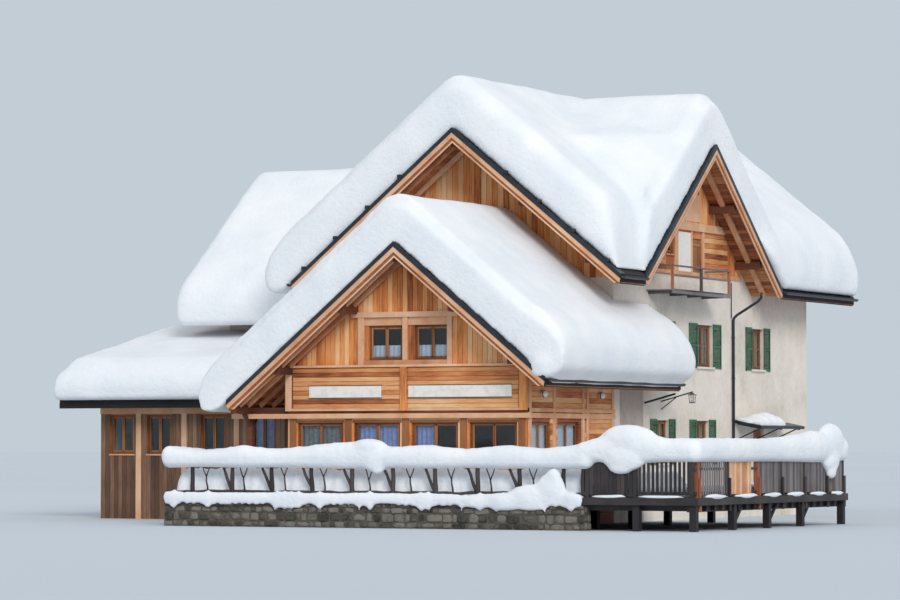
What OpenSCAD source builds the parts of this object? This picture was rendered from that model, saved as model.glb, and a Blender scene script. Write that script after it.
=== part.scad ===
// Alpine chalet under snow: a stone-walled house with timber gables, a timber dining
// wing in front, a lower wing and a lean-to on the left, and a terrace on posts.
// Millimetres. X runs to the right along the front, Y runs back, Z is up.
// X = 0 is the ridge of the front wing, Y = 0 its front verge, Z = 0 the ground line.

/* [Main block] */
// Slope of every gabled roof in degrees
pitch = 39; // [36:1:41]
// Width of the main block over its side walls
main_w = 9600; // [9200:100:10000]
// Length of the main block over its end walls
main_l = 16300; // [15900:100:16800]
// Outer face of the right wall
main_right = 4000; // [3900:50:4100]
// Outer face of the front wall
main_front = 7200; // [7100:50:7300]
// Thickness of the stone walls
wall_t = 450; // [400:10:500]
// Height of the ridge
main_ridge_z = 12530; // [12400:10:12700]
// Reach of the roof past the side walls
eave_out = 1100; // [900:50:1200]
// Reach of the roof past the end walls
verge_out = 1850; // [1500:50:2000]
// Height at which the stone ends and the timber gables start
stone_top = 7750; // [7600:50:7800]

/* [Floors] */
// Top of the ground floor and of the terrace
floor_0 = 950; // [900:10:1000]
// Top of the first floor
floor_1 = 3900; // [3800:10:4000]
// Top of the attic floor
floor_2 = 7000; // [6900:10:7100]
// Top of the first floor in the front wing
fw_floor_1 = 3700; // [3600:10:3750]
// Thickness of a floor
floor_t = 250; // [200:10:300]

/* [Roof and snow] */
// Thickness of a roof, square to its slope
roof_t = 200; // [160:10:240]
// Upright depth of the snow on the main block and the left wing
snow_t = 2080; // [1900:10:2200]
// Upright depth of the snow on the front wing
fw_snow_t = 1790; // [1700:10:1900]
// Upright depth of the snow on the lean-to
annex_snow_t = 1330; // [1200:10:1400]
// Thickness of the timber walls
timber_t = 200; // [180:10:240]

/* [Cross gable] */
// Middle of the cross gable along the right wall
cross_y = 12900; // [12700:50:13100]
// Height of its ridge
cross_ridge_z = 12330; // [12250:10:12450]
// Height at which its timber wall starts
cross_sill_z = 8050; // [8000:10:8100]

/* [Left wing] */
// Outer face of its end wall
wing_left = -11600; // [-11800:50:-11400]
// Outer face of its front wall
wing_front = 9600; // [9500:50:9700]
// Height of its ridge
wing_ridge_z = 10300; // [10200:10:10400]
// Thickness of its walls
wing_wall_t = 350; // [300:10:400]

/* [Lean-to] */
// Outer face of its end wall
annex_left = -14000; // [-14200:50:-13800]
// Outer face of its front wall
annex_front = 5300; // [5200:50:5400]
// Outer face of its back wall
annex_back = 13300; // [13200:50:13400]
// Height of its eave
annex_eave_z = 4000; // [3900:10:4050]
// Slope of its roof in degrees
annex_pitch = 12; // [11:1:13]
// Thickness of its walls
annex_wall_t = 300; // [250:10:350]

/* [Front wing] */
// Outer face of its front wall
fw_front = 1100; // [1000:50:1200]
// Outer face of its left wall
fw_left = -4300; // [-4400:50:-4200]
// Height of its ridge
fw_ridge_z = 8600; // [8500:10:8700]
// Reach of its left slope from the ridge
fw_reach_l = 5900; // [5800:50:6000]
// Reach of its right slope from the ridge
fw_reach_r = 5100; // [5050:10:5150]
// How far back its eave runs beside the main block
fw_eave_back = 9950; // [9800:10:9980]
// Top of the band of boards
band_top = 4830; // [4750:10:4830]
// Underside of the band of boards
band_low = 3490; // [3450:10:3550]

/* [Terrace] */
// Front edge
deck_front = -3000; // [-3200:50:-2800]
// Left edge
deck_left = -6300; // [-6400:50:-6200]
// Right edge
deck_right = 11300; // [11100:50:11500]
// Back edge beside the house
deck_back = 8600; // [8400:50:8800]
// Thickness of the deck with its joists
deck_t = 200; // [160:10:220]
// Where the branch railing changes to the slatted one
rail_split = 7800; // [7600:50:8000]
// Top of the branch railing
branch_rail_z = 1880; // [1800:10:1950]
// Top of the slatted railing
slat_rail_z = 2080; // [2000:10:2150]
// Distance between the posts of the branch railing
branch_bay = 1370; // [1300:10:1450]
// Distance between the slats
slat_pitch = 140; // [120:10:200]

/* [Hidden] */

TIMBER = "peru";
STONE = "silver";
DARK = "dimgray";
SNOW = "white";

slope = tan(pitch);
roof_tv = roof_t / cos(pitch);
main_left = main_right - main_w;
main_back = main_front + main_l;
ridge_x = (main_left + main_right) / 2;
eave_half = main_w / 2 + eave_out;
eave_r = main_right + eave_out;
eave_l = main_left - eave_out;
verge_f = main_front - verge_out;
verge_b = main_back + verge_out;
cross_start = (main_ridge_z - cross_ridge_z) / slope;
cross_half = eave_half - cross_start;
wing_half = cross_y - wing_front;
wing_back = cross_y + wing_half;
wing_eave = 1000;
wing_verge = wing_left - wing_eave;
wing_start = (main_ridge_z - wing_ridge_z) / slope;
annex_tv = roof_t / cos(annex_pitch);
annex_over = 1000;
annex_right = -6000;
far = 40000;
// How far a cut runs past the piece that it cuts
past = 1500;
// How far the lower roofs, and the snow on them, stay from the main ridge
roof_start = 60;
snow_start = 200;
// How far the uncut snow reaches down into the roof at the ridge
snow_root = 500;
// Gap between snow and the wall or chimney beside it
wall_gap = 60;

// A box from its two corners
module span(x0, x1, y0, y1, z0, z1) {
    translate([x0, y0, z0]) cube([x1 - x0, y1 - y0, z1 - z0]);
}
// An outline in X and Z, drawn out along Y
module along_y(y0, y1) {
    translate([0, y1, 0]) rotate([90, 0, 0]) linear_extrude(y1 - y0) children();
}
// An outline in Y and Z, drawn out along X
module along_x(x0, x1) {
    translate([x0, 0, 0]) rotate([90, 0, 90]) linear_extrude(x1 - x0) children();
}
// Height of a gabled roof's top at a distance from its ridge
function drop(ridge_z, d) = ridge_z - slope * abs(d);

// Section of a gabled roof: a slab folded at the ridge
module roof_section(c, ridge_z, left, right) {
    polygon([
        [c - left, drop(ridge_z, left)], [c, ridge_z], [c + right, drop(ridge_z, right)],
        [c + right, drop(ridge_z, right) - roof_tv], [c, ridge_z - roof_tv],
        [c - left, drop(ridge_z, left) - roof_tv]]);
}
// Section of the space under a gabled roof, down to a given height
module under_section(c, ridge_z, left, right, low) {
    polygon([
        [c - left, low], [c - left, drop(ridge_z, left) - roof_tv], [c, ridge_z - roof_tv],
        [c + right, drop(ridge_z, right) - roof_tv], [c + right, low]]);
}
// Section of everything below a gabled roof's top, drawn out past its eaves
module below_section(c, ridge_z, half) {
    h = half + past;
    polygon([[c - h, 0], [c - h, drop(ridge_z, h)], [c, ridge_z], [c + h, drop(ridge_z, h)],
        [c + h, 0]]);
}
// Where two roofs meet in a valley, each is cut by the space below the other
module below_main(down) {
    translate([0, 0, -down]) along_y(verge_f - past, verge_b + past)
        below_section(ridge_x, main_ridge_z, eave_half);
}
module below_cross() {
    along_x(ridge_x + roof_start, eave_r + past) below_section(cross_y, cross_ridge_z, cross_half);
}
module below_wing() {
    along_x(wing_verge - past, ridge_x - roof_start)
        below_section(cross_y, wing_ridge_z, wing_half + wing_eave);
}

// Openings on the right wall: middle, width, sill, height
win_h = 1400;
sill_1 = 5050;
sill_0 = 1850;
RIGHT_WINDOWS = [
    [10970, 950, sill_1, win_h], [14430, 1300, sill_1, win_h], [18980, 1050, sill_1, win_h],
    [10970, 950, sill_0, win_h], [14200, 1050, sill_0, win_h]];
door_w = 1000;
door_h = 2050;
side_door_y = 18980;
LEFT_WINDOWS = [[19500, 1000, sill_1, win_h], [19500, 1000, sill_0, win_h]];
BACK_WINDOWS = [
    for (x = [-3400, 1800]) for (z = [sill_0, sill_1]) [x, 1000, z, win_h]];
WING_BACK_WINDOWS = [for (z = [sill_0, sill_1]) [-8600, 1000, z, win_h]];
wing_gable_window = [cross_y, 900, 7300, 1100];
back_gable_window = [ridge_x, 1200, 8600, 1200];
ANNEX_WINDOWS = [for (x = [-13150, -11700, -9600, -7700]) [x, 950, 2150, 1300]];
FW_ROW = [for (i = [0:3]) [-3150 + 2000 * i, 1600, 1750, win_h]];
FW_SIDE = [[1950, 1300, 1750, win_h], [3850, 1550, 1750, win_h]];
FW_UPPER = [[-850, 1200, 5040, 1070], [750, 1200, 5040, 1070]];
porch_door_y = 4600;
// The door from the balcony and the narrow window beside it
cross_door = [13720, 850, cross_sill_z + 100, 1150];
cross_window = [11550, 620, 8700, 620];

// Cuts for a list of openings in a wall that faces along X or along Y
module cuts_x(list, x0, x1) {
    for (o = list) span(x0, x1, o[0] - o[1] / 2, o[0] + o[1] / 2, o[2], o[2] + o[3]);
}
module cuts_y(list, y0, y1) {
    for (o = list) span(o[0] - o[1] / 2, o[0] + o[1] / 2, y0, y1, o[2], o[2] + o[3]);
}

module main_front_wall() {
    color(STONE)
    span(main_left, main_right, main_front, main_front + wall_t, 0, stone_top);
}
module main_back_wall() {
    color(STONE) difference() {
        span(main_left, main_right, main_back - wall_t, main_back, 0, stone_top);
        cuts_y(BACK_WINDOWS, main_back - wall_t - 10, main_back + 10);
    }
}
// A side wall between the end walls, with its top cut to the roof's slope
module side_wall(x0, x1, breaks) {
    y0 = main_front + wall_t;
    y1 = main_back - wall_t;
    top = cross_sill_z;
    intersection() {
        union() {
            span(x0, x1, y0, y1, 0, stone_top);
            difference() {
                span(x0, x1, main_front + timber_t, main_back - timber_t, stone_top, 9500);
                for (b = breaks) span(x0 - 10, x1 + 10, b[0], b[1], b[2], 9600);
            }
        }
        along_y(main_front, main_back)
            under_section(ridge_x, main_ridge_z, eave_half, eave_half, -10);
    }
}
gable_half = main_right - ridge_x - cross_start;
module main_right_wall() {
    color(STONE) difference() {
        side_wall(main_right - wall_t, main_right,
            [[cross_y - gable_half, cross_y + gable_half, cross_sill_z]]);
        cuts_x(RIGHT_WINDOWS, main_right - wall_t - 10, main_right + 10);
        cuts_x([[side_door_y, door_w, floor_0, door_h]], main_right - wall_t - 10,
            main_right + 10);
    }
}
module main_left_wall() {
    wing_meet = main_w / 2 - wing_start;
    color(STONE) difference() {
        side_wall(main_left, main_left + wall_t,
            [[cross_y - wing_meet, cross_y + wing_meet, stone_top]]);
        cuts_x(LEFT_WINDOWS, main_left - 10, main_left + wall_t + 10);
    }
}
module gable_outline() {
    intersection() {
        translate([main_left, stone_top]) square([main_w, 6000]);
        under_section(ridge_x, main_ridge_z, eave_half, eave_half, 0);
    }
}
module main_gables() {
    color(TIMBER) {
        along_y(main_front, main_front + timber_t) gable_outline();
        difference() {
            along_y(main_back - timber_t, main_back) gable_outline();
            cuts_y([back_gable_window], main_back - timber_t - 10, main_back + 10);
        }
    }
}
// A floor inside the main walls
module main_floor(top) {
    span(main_left + wall_t, main_right - wall_t, main_front + wall_t,
        main_back - wall_t, top - floor_t, top);
}
module main_floors() {
    color("tan") for (top = [floor_0, floor_1, floor_2]) main_floor(top);
}
module main_roof() {
    color(TIMBER) difference() {
        along_y(verge_f, verge_b)
            roof_section(ridge_x, main_ridge_z, eave_half, eave_half);
        below_cross();
        below_wing();
        chimney_shaft(30);
    }
}
module cross_gable_roof() {
    color(TIMBER) difference() {
        along_x(ridge_x + roof_start, eave_r)
            roof_section(cross_y, cross_ridge_z, cross_half + past, cross_half + past);
        below_main(roof_tv);
    }
}
module cross_gable_wall() {
    color(TIMBER) difference() {
        along_x(main_right - timber_t, main_right) intersection() {
            translate([cross_y - gable_half, cross_sill_z]) square([2 * gable_half, 5000]);
            under_section(cross_y, cross_ridge_z, cross_half, cross_half, 0);
        }
        cuts_x([cross_door, cross_window], main_right - timber_t - 10, main_right + 10);
    }
}
// Balcony on the cross gable: a floor, posts, a rail and a board front
balcony_y0 = 9700;
balcony_y1 = 14400;
balcony_out = 950;
balcony_z = 7350;
balcony_rail_z = 8250;
module balcony() {
    post = 110;
    x1 = main_right + balcony_out;
    color(TIMBER) {
        span(main_right, x1, balcony_y0, balcony_y1, balcony_z, balcony_z + 120);
        for (y = [balcony_y0, (balcony_y0 + balcony_y1 - post) / 2, balcony_y1 - post])
            span(x1 - post, x1, y, y + post, balcony_z + 120, balcony_rail_z - 90);
        span(x1 - post, x1, balcony_y0, balcony_y1, balcony_rail_z - 90, balcony_rail_z);
        for (y = [balcony_y0, balcony_y1 - post])
            span(main_right, x1 - post, y, y + post, balcony_rail_z - 90, balcony_rail_z);
    }
}
// Chimney through the hidden left slope
chimney_x = -2600;
chimney_y = 19500;
chimney_w = 900;
chimney_top = 14150;
module chimney_shaft(gap) {
    span(chimney_x - chimney_w / 2 - gap, chimney_x + chimney_w / 2 + gap,
        chimney_y - chimney_w / 2 - gap, chimney_y + chimney_w / 2 + gap,
        floor_2, chimney_top);
}
module chimney() {
    flue = 300;
    cap = 120;
    color(STONE) difference() {
        union() {
            chimney_shaft(0);
            span(chimney_x - chimney_w / 2 - cap, chimney_x + chimney_w / 2 + cap,
                chimney_y - chimney_w / 2 - cap, chimney_y + chimney_w / 2 + cap,
                chimney_top - 150, chimney_top);
        }
        span(chimney_x - flue / 2, chimney_x + flue / 2, chimney_y - flue / 2,
            chimney_y + flue / 2, floor_2 + 500, chimney_top + 10);
    }
}

// Left wing
module wing_under(low) {
    along_x(wing_verge, main_left)
        under_section(cross_y, wing_ridge_z, wing_half + wing_eave, wing_half + wing_eave, low);
}
module left_wing_side_walls() {
    color(STONE) difference() {
        intersection() {
            for (y = [wing_front, wing_back - wing_wall_t])
                span(wing_left, main_left, y, y + wing_wall_t, 0, 9000);
            wing_under(-10);
        }
        cuts_y(WING_BACK_WINDOWS, wing_back - wing_wall_t - 10, wing_back + 10);
    }
}
module left_wing_end_wall() {
    color(STONE) difference() {
        intersection() {
            span(wing_left, wing_left + wing_wall_t, wing_front + wing_wall_t,
                wing_back - wing_wall_t, 0, 12000);
            wing_under(-10);
        }
        cuts_x([wing_gable_window], wing_left - 10, wing_left + wing_wall_t + 10);
    }
}
// Floors of the left wing and of the lean-to
module left_floors() {
    color("tan") {
        for (top = [floor_0, floor_1])
            span(wing_left + wing_wall_t, main_left, wing_front + wing_wall_t,
                wing_back - wing_wall_t, top - floor_t, top);
        span(annex_left + annex_wall_t, annex_right - annex_wall_t,
            annex_front + annex_wall_t, wing_front, floor_0 - floor_t, floor_0);
        span(annex_left + annex_wall_t, wing_left, wing_front,
            annex_back - annex_wall_t, floor_0 - floor_t, floor_0);
    }
}
module left_wing_roof() {
    color(TIMBER) difference() {
        along_x(wing_verge, ridge_x - roof_start)
            roof_section(cross_y, wing_ridge_z, wing_half + wing_eave, wing_half + wing_eave);
        intersection() {
            below_main(roof_tv);
            span(main_left, far, 0, far, 0, far);
        }
    }
}

// Lean-to: a roof with one slope, from its eave in front to its back wall
annex_slope = tan(annex_pitch);
annex_eave_y = annex_front - annex_over;
annex_end_y = annex_back + 500;
function annex_top(y) = annex_eave_z + annex_slope * (y - annex_eave_y);
module annex_section(y0, y1) {
    polygon([[y0, annex_top(y0)], [y1, annex_top(y1)], [y1, annex_top(y1) - annex_tv],
        [y0, annex_top(y0) - annex_tv]]);
}
// Everything below the lean-to's roof, or below a plane further down
module below_annex(x0, x1, down) {
    along_x(x0, x1) polygon([[annex_eave_y, -10],
        [annex_eave_y, annex_top(annex_eave_y) - down],
        [annex_end_y, annex_top(annex_end_y) - down], [annex_end_y, -10]]);
}
module annex_under() {
    below_annex(annex_left, main_left, annex_tv);
}
module annex_roof() {
    color(TIMBER) {
        along_x(annex_left - annex_over, annex_right) annex_section(annex_eave_y, wing_front);
        along_x(annex_right, main_left) annex_section(main_front + 50, wing_front);
        along_x(annex_left - annex_over, wing_left) annex_section(wing_front, annex_end_y);
    }
}
module annex_front_wall() {
    color(TIMBER) difference() {
        intersection() {
            span(annex_left, annex_right, annex_front, annex_front + annex_wall_t, 0, 7000);
            annex_under();
        }
        cuts_y(ANNEX_WINDOWS, annex_front - 10, annex_front + annex_wall_t + 10);
    }
}
module annex_end_walls() {
    color(STONE) intersection() {
        union() {
            span(annex_left, annex_left + annex_wall_t, annex_front + annex_wall_t,
                annex_back - annex_wall_t, 0, 7000);
            span(annex_right - annex_wall_t, annex_right, annex_front + annex_wall_t,
                wing_front, 0, 7000);
        }
        annex_under();
    }
}
module annex_back_wall() {
    color(STONE) intersection() {
        span(annex_left, wing_left, annex_back - annex_wall_t, annex_back, 0, 7000);
        annex_under();
    }
}

// Front wing
module fw_under(low) {
    along_y(0, fw_eave_back)
        under_section(0, fw_ridge_z, fw_reach_l, fw_reach_r, low);
}
module front_wing_front_wall() {
    color(TIMBER) difference() {
        span(fw_left, main_right, fw_front, fw_front + timber_t, 0, band_low);
        cuts_y(FW_ROW, fw_front - 10, fw_front + timber_t + 10);
    }
}
module front_wing_gable() {
    color(TIMBER) difference() {
        intersection() {
            span(fw_left, main_right, fw_front, fw_front + timber_t, band_low, 9000);
            fw_under(0);
        }
        cuts_y(FW_UPPER, fw_front - 10, fw_front + timber_t + 10);
    }
}
module front_wing_right_wall() {
    color(TIMBER) difference() {
        intersection() {
            span(main_right - timber_t, main_right, fw_front + timber_t, main_front, 0, 7000);
            fw_under(-10);
        }
        cuts_x(FW_SIDE, main_right - timber_t - 10, main_right + 10);
    }
}
module front_wing_left_wall() {
    color(TIMBER) difference() {
        intersection() {
            span(fw_left, fw_left + timber_t, fw_front + timber_t, main_front, 0, 7000);
            fw_under(-10);
        }
        cuts_x([[porch_door_y, door_w, floor_0, door_h]], fw_left - 10,
            fw_left + timber_t + 10);
    }
}
module fw_floor_slab(top) {
    span(fw_left + timber_t, main_right - timber_t, fw_front + timber_t, main_front,
        top - floor_t, top);
}
module front_wing_floors() {
    color("tan") for (top = [floor_0, fw_floor_1]) fw_floor_slab(top);
}
module front_wing_roof() {
    color(TIMBER) difference() {
        along_y(0, fw_eave_back)
            roof_section(0, fw_ridge_z, fw_reach_l, fw_reach_r);
        span(-far, main_right, main_front, far, 0, far);
    }
}
// Band of boards across the front, with end posts and a middle post
band_out = 120;
band_post = 240;
module parapet() {
    color(TIMBER) {
        span(fw_left, main_right, fw_front - band_out, fw_front, band_low, band_top);
        for (x = [fw_left, -150 - band_post / 2, main_right - band_post])
            span(x, x + band_post, fw_front - band_out - 40, fw_front - band_out,
                band_low, band_top);
    }
}
sign_z = 3890;
sign_h = 380;
module sign_boards() {
    color("whitesmoke") {
        span(-3470, -930, fw_front - band_out - 30, fw_front - band_out, sign_z,
            sign_z + sign_h);
        span(20, 3540, fw_front - band_out - 30, fw_front - band_out, sign_z,
            sign_z + sign_h);
    }
}
// Covered passage under the long left slope: posts, an eave beam and braces
porch_x = -5800;
module porch() {
    post = 180;
    beam_z = drop(fw_ridge_z, porch_x) - roof_tv - 220;
    brace = 420;
    color(TIMBER) {
        span(porch_x, porch_x + post, 100, main_front, beam_z, beam_z + 220);
        for (y = [fw_front, 4000, main_front - post]) {
            span(porch_x, porch_x + post, y, y + post, floor_0, beam_z);
            for (s = [-1, 1]) if (y + s * brace < main_front - 100)
                along_x(porch_x + 40, porch_x + post - 40) polygon([
                    [y + post / 2 + s * post / 2, beam_z - brace],
                    [y + post / 2 + s * post / 2, beam_z - brace + 150],
                    [y + post / 2 + s * (post / 2 + brace - 150), beam_z],
                    [y + post / 2 + s * (post / 2 + brace), beam_z]]);
        }
        span(porch_x + post, fw_left, fw_front, fw_front + post, beam_z, beam_z + 180);
    }
}

// Ends of the purlins that carry the roofs past the gables
purlin_w = 200;
purlin_h = 260;
module purlin_y(x, top, y0, y1) {
    span(x - purlin_w / 2, x + purlin_w / 2, y0, y1, top - purlin_h, top);
}
module purlin_x(y, top, x0, x1) {
    span(x0, x1, y - purlin_w / 2, y + purlin_w / 2, top - purlin_h, top);
}
// Height of a purlin's top: under the slope at its outer edge
function purlin_top(ridge_z, d) = drop(ridge_z, abs(d) + purlin_w / 2) - roof_tv;
module purlins() {
    color("sienna") {
        for (d = [-4700, -2400, 0, 2400, 4700]) {
            purlin_y(ridge_x + d, purlin_top(main_ridge_z, d), verge_f + 150, main_front);
            purlin_y(ridge_x + d, purlin_top(main_ridge_z, d), main_back, verge_b - 150);
        }
        for (d = [-4100, -1900, 0, 1900, 4100])
            purlin_x(cross_y + d, purlin_top(cross_ridge_z, d), main_right, eave_r - 150);
        for (d = [-3200, -1600, 0, 1600, 3200])
            purlin_x(cross_y + d, purlin_top(wing_ridge_z, d), wing_verge + 150, wing_left);
        for (d = [-4180, -1900, 0, 1900, 3880])
            purlin_y(d, purlin_top(fw_ridge_z, d), 150, fw_front);
    }
}
// Boards that close the ends of the roofs, under the slab
barge_d = 260;
barge_t = 60;
module barge_section(c, ridge_z, left, right) {
    translate([0, -roof_tv])
    polygon([[c - left, drop(ridge_z, left)], [c, ridge_z],
        [c + right, drop(ridge_z, right)], [c + right, drop(ridge_z, right) - barge_d],
        [c, ridge_z - barge_d], [c - left, drop(ridge_z, left) - barge_d]]);
}
module barge_boards() {
    color("burlywood") {
        for (y = [verge_f + 40, verge_b - 40 - barge_t])
            along_y(y, y + barge_t) barge_section(ridge_x, main_ridge_z, eave_half, eave_half);
        along_y(40, 40 + barge_t) barge_section(0, fw_ridge_z, fw_reach_l, fw_reach_r);
        along_x(eave_r - 40 - barge_t, eave_r - 40)
            barge_section(cross_y, cross_ridge_z, cross_half - 60, cross_half - 60);
        along_x(wing_verge + 40, wing_verge + 40 + barge_t)
            barge_section(cross_y, wing_ridge_z, wing_half + wing_eave, wing_half + wing_eave);
    }
}
// Half-round gutters on the eaves and the downpipe on the right wall
gutter_r = 90;
module gutter_y(x, z, y0, y1) {
    along_y(y0, y1) translate([x, z]) difference() {
        circle(gutter_r, $fn = 24);
        circle(gutter_r - 15, $fn = 24);
        translate([-gutter_r, 0]) square([2 * gutter_r, gutter_r]);
    }
}
module gutters() {
    main_z = drop(main_ridge_z, eave_half) - 60;
    fw_z = drop(fw_ridge_z, fw_reach_r) - 60;
    pipe_y = 16710;
    pipe_x = main_right + 60;
    color(DARK) {
        gutter_y(eave_r + gutter_r, main_z, verge_f, cross_y - cross_half - 100);
        gutter_y(eave_r + gutter_r, main_z, cross_y + cross_half + 100, verge_b);
        gutter_y(eave_l - gutter_r, main_z, verge_f, cross_y - 4000);
        gutter_y(eave_l - gutter_r, main_z, cross_y + 4000, verge_b);
        gutter_y(fw_reach_r + gutter_r, fw_z, 0, fw_eave_back);
        translate([pipe_x, pipe_y, floor_0 + 200]) cylinder(r = 50, h = 5550, $fn = 24);
    }
}

// Frames and panes: one for each opening
frame_b = 70;
frame_t = 80;
module frames_x(list, x) {
    for (o = list) difference() {
        span(x, x + frame_t, o[0] - o[1] / 2, o[0] + o[1] / 2, o[2], o[2] + o[3]);
        span(x - 10, x + frame_t + 10, o[0] - o[1] / 2 + frame_b, o[0] + o[1] / 2 - frame_b,
            o[2] + frame_b, o[2] + o[3] - frame_b);
    }
}
module frames_y(list, y) {
    for (o = list) difference() {
        span(o[0] - o[1] / 2, o[0] + o[1] / 2, y, y + frame_t, o[2], o[2] + o[3]);
        span(o[0] - o[1] / 2 + frame_b, o[0] + o[1] / 2 - frame_b, y - 10, y + frame_t + 10,
            o[2] + frame_b, o[2] + o[3] - frame_b);
    }
}
glass_t = 24;
module panes_x(list, x) {
    for (o = list) span(x, x + glass_t, o[0] - o[1] / 2 + frame_b, o[0] + o[1] / 2 - frame_b,
        o[2] + frame_b, o[2] + o[3] - frame_b);
}
module panes_y(list, y) {
    for (o = list) span(o[0] - o[1] / 2 + frame_b, o[0] + o[1] / 2 - frame_b, y, y + glass_t,
        o[2] + frame_b, o[2] + o[3] - frame_b);
}
reveal = 120;
timber_reveal = 60;
module window_frames() {
    color("saddlebrown") {
        frames_x(RIGHT_WINDOWS, main_right - reveal - frame_t);
        frames_x(LEFT_WINDOWS, main_left + reveal);
        frames_y(BACK_WINDOWS, main_back - reveal - frame_t);
        frames_y(WING_BACK_WINDOWS, wing_back - reveal - frame_t);
        frames_x([wing_gable_window], wing_left + reveal);
        frames_y([back_gable_window], main_back - timber_reveal - frame_t);
        frames_y(ANNEX_WINDOWS, annex_front + timber_reveal);
        frames_y(FW_ROW, fw_front + timber_reveal);
        frames_y(FW_UPPER, fw_front + timber_reveal);
        frames_x(FW_SIDE, main_right - timber_reveal - frame_t);
        frames_x([cross_window], main_right - timber_reveal - frame_t);
    }
}
module window_glass() {
    in = (frame_t - glass_t) / 2;
    color("lightsteelblue") {
        panes_x(RIGHT_WINDOWS, main_right - reveal - frame_t + in);
        panes_x(LEFT_WINDOWS, main_left + reveal + in);
        panes_y(BACK_WINDOWS, main_back - reveal - frame_t + in);
        panes_y(WING_BACK_WINDOWS, wing_back - reveal - frame_t + in);
        panes_x([wing_gable_window], wing_left + reveal + in);
        panes_y([back_gable_window], main_back - timber_reveal - frame_t + in);
        panes_y(ANNEX_WINDOWS, annex_front + timber_reveal + in);
        panes_y(FW_ROW, fw_front + timber_reveal + in);
        panes_y(FW_UPPER, fw_front + timber_reveal + in);
        panes_x(FW_SIDE, main_right - timber_reveal - frame_t + in);
        panes_x([cross_window], main_right - timber_reveal - frame_t + in);
    }
}
// Shutters folded back on the wall, a leaf on each side of an opening
shutter_t = 40;
module shutters_x(list, x) {
    for (o = list) for (s = [-1, 1]) {
        leaf = o[1] / 2 + 40;
        y = o[0] + s * (o[1] / 2 + leaf / 2);
        span(x, x + shutter_t, y - leaf / 2, y + leaf / 2, o[2] - 40, o[2] + o[3] + 40);
    }
}
module shutters_y(list, y) {
    for (o = list) for (s = [-1, 1]) {
        leaf = o[1] / 2 + 40;
        x = o[0] + s * (o[1] / 2 + leaf / 2);
        span(x - leaf / 2, x + leaf / 2, y, y + shutter_t, o[2] - 40, o[2] + o[3] + 40);
    }
}
module shutters() {
    color("darkgreen") {
        shutters_x(RIGHT_WINDOWS, main_right);
        shutters_x(LEFT_WINDOWS, main_left - shutter_t);
        shutters_y(BACK_WINDOWS, main_back);
        shutters_y(WING_BACK_WINDOWS, wing_back);
    }
}
// Closed doors: the side door, the passage door and the balcony door
module doors() {
    leaf = 60;
    color("saddlebrown") {
        span(main_right - reveal - leaf, main_right - reveal, side_door_y - door_w / 2,
            side_door_y + door_w / 2, floor_0, floor_0 + door_h);
        span(fw_left + timber_reveal, fw_left + timber_reveal + leaf,
            porch_door_y - door_w / 2, porch_door_y + door_w / 2, floor_0, floor_0 + door_h);
        span(main_right - timber_reveal - leaf, main_right - timber_reveal,
            cross_door[0] - cross_door[1] / 2, cross_door[0] + cross_door[1] / 2,
            cross_door[2], cross_door[2] + cross_door[3]);
    }
}
// Small roof over the side door
canopy_y0 = 16900;
canopy_y1 = 20800;
canopy_out = 1000;
canopy_z = 3100;
module canopy() {
    rise = 200;
    color(DARK) along_y(canopy_y0, canopy_y1) polygon([
        [main_right, canopy_z + rise], [main_right + canopy_out, canopy_z],
        [main_right + canopy_out, canopy_z - 100], [main_right, canopy_z + rise - 100]]);
}
// Globe lamps under the right eave of the front wing
lamp_r = 110;
module lamps() {
    color("whitesmoke") for (y = [fw_front + 900, 6100])
        translate([main_right + lamp_r, y, 3990]) sphere(lamp_r, $fn = 24);
}

// Terrace
module terrace_floor() {
    color(DARK) {
        span(deck_left, deck_right, deck_front, fw_front, floor_0 - deck_t, floor_0);
        span(deck_left, fw_left, fw_front, annex_front, floor_0 - deck_t, floor_0);
        span(annex_right, fw_left, annex_front, main_front, floor_0 - deck_t, floor_0);
    }
}
module side_terrace_floor() {
    color(DARK)
    span(main_right, deck_right, fw_front, deck_back, floor_0 - deck_t, floor_0);
}
module terrace_wall() {
    t = 400;
    top = floor_0 - deck_t;
    color("gray") {
        span(deck_left, rail_split, deck_front + 60, deck_front + 60 + t, 0, top);
        span(deck_left, deck_left + t, deck_front + 60 + t, annex_front, 0, top);
    }
}
module terrace_posts() {
    post = 200;
    top = floor_0 - deck_t;
    color(DARK) {
        for (x = [9300, deck_right - post - 50]) span(x, x + post, deck_front + 60,
            deck_front + 60 + post, 0, top);
        for (y = [-200, 2400, 5000, deck_back - post - 50])
            for (x = [6700, deck_right - post - 50]) span(x, x + post, y, y + post, 0, top);
    }
}
// Railing of round timber: posts, two rails and slanting branches
rail_y = deck_front + 150;
rail_r = 60;
module pole(a, b, r) {
    d = b - a;
    l = norm(d);
    translate(a) rotate([0, acos(d[2] / l), atan2(d[1], d[0])])
        cylinder(r = r, h = l, $fn = 6);
}
module branch_railing() {
    bays = floor((rail_split - deck_left) / branch_bay);
    low = floor_0 + 130;
    high = branch_rail_z - rail_r;
    color(DARK) {
        for (i = [0:bays]) {
            x = rail_split - 70 - i * branch_bay;
            pole([x, rail_y, floor_0], [x, rail_y, branch_rail_z], 70);
            if (i < bays) for (k = [0:1]) {
                m = x - branch_bay * (0.27 + 0.46 * k);
                pole([m, rail_y, low], [m - 190, rail_y, high], 35);
                pole([m, rail_y, low], [m + 190, rail_y, high], 35);
            }
        }
        end = rail_split - 70 - bays * branch_bay;
        for (z = [low, high])
            pole([end, rail_y, z], [rail_split - 70, rail_y, z], rail_r);
    }
}
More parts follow.
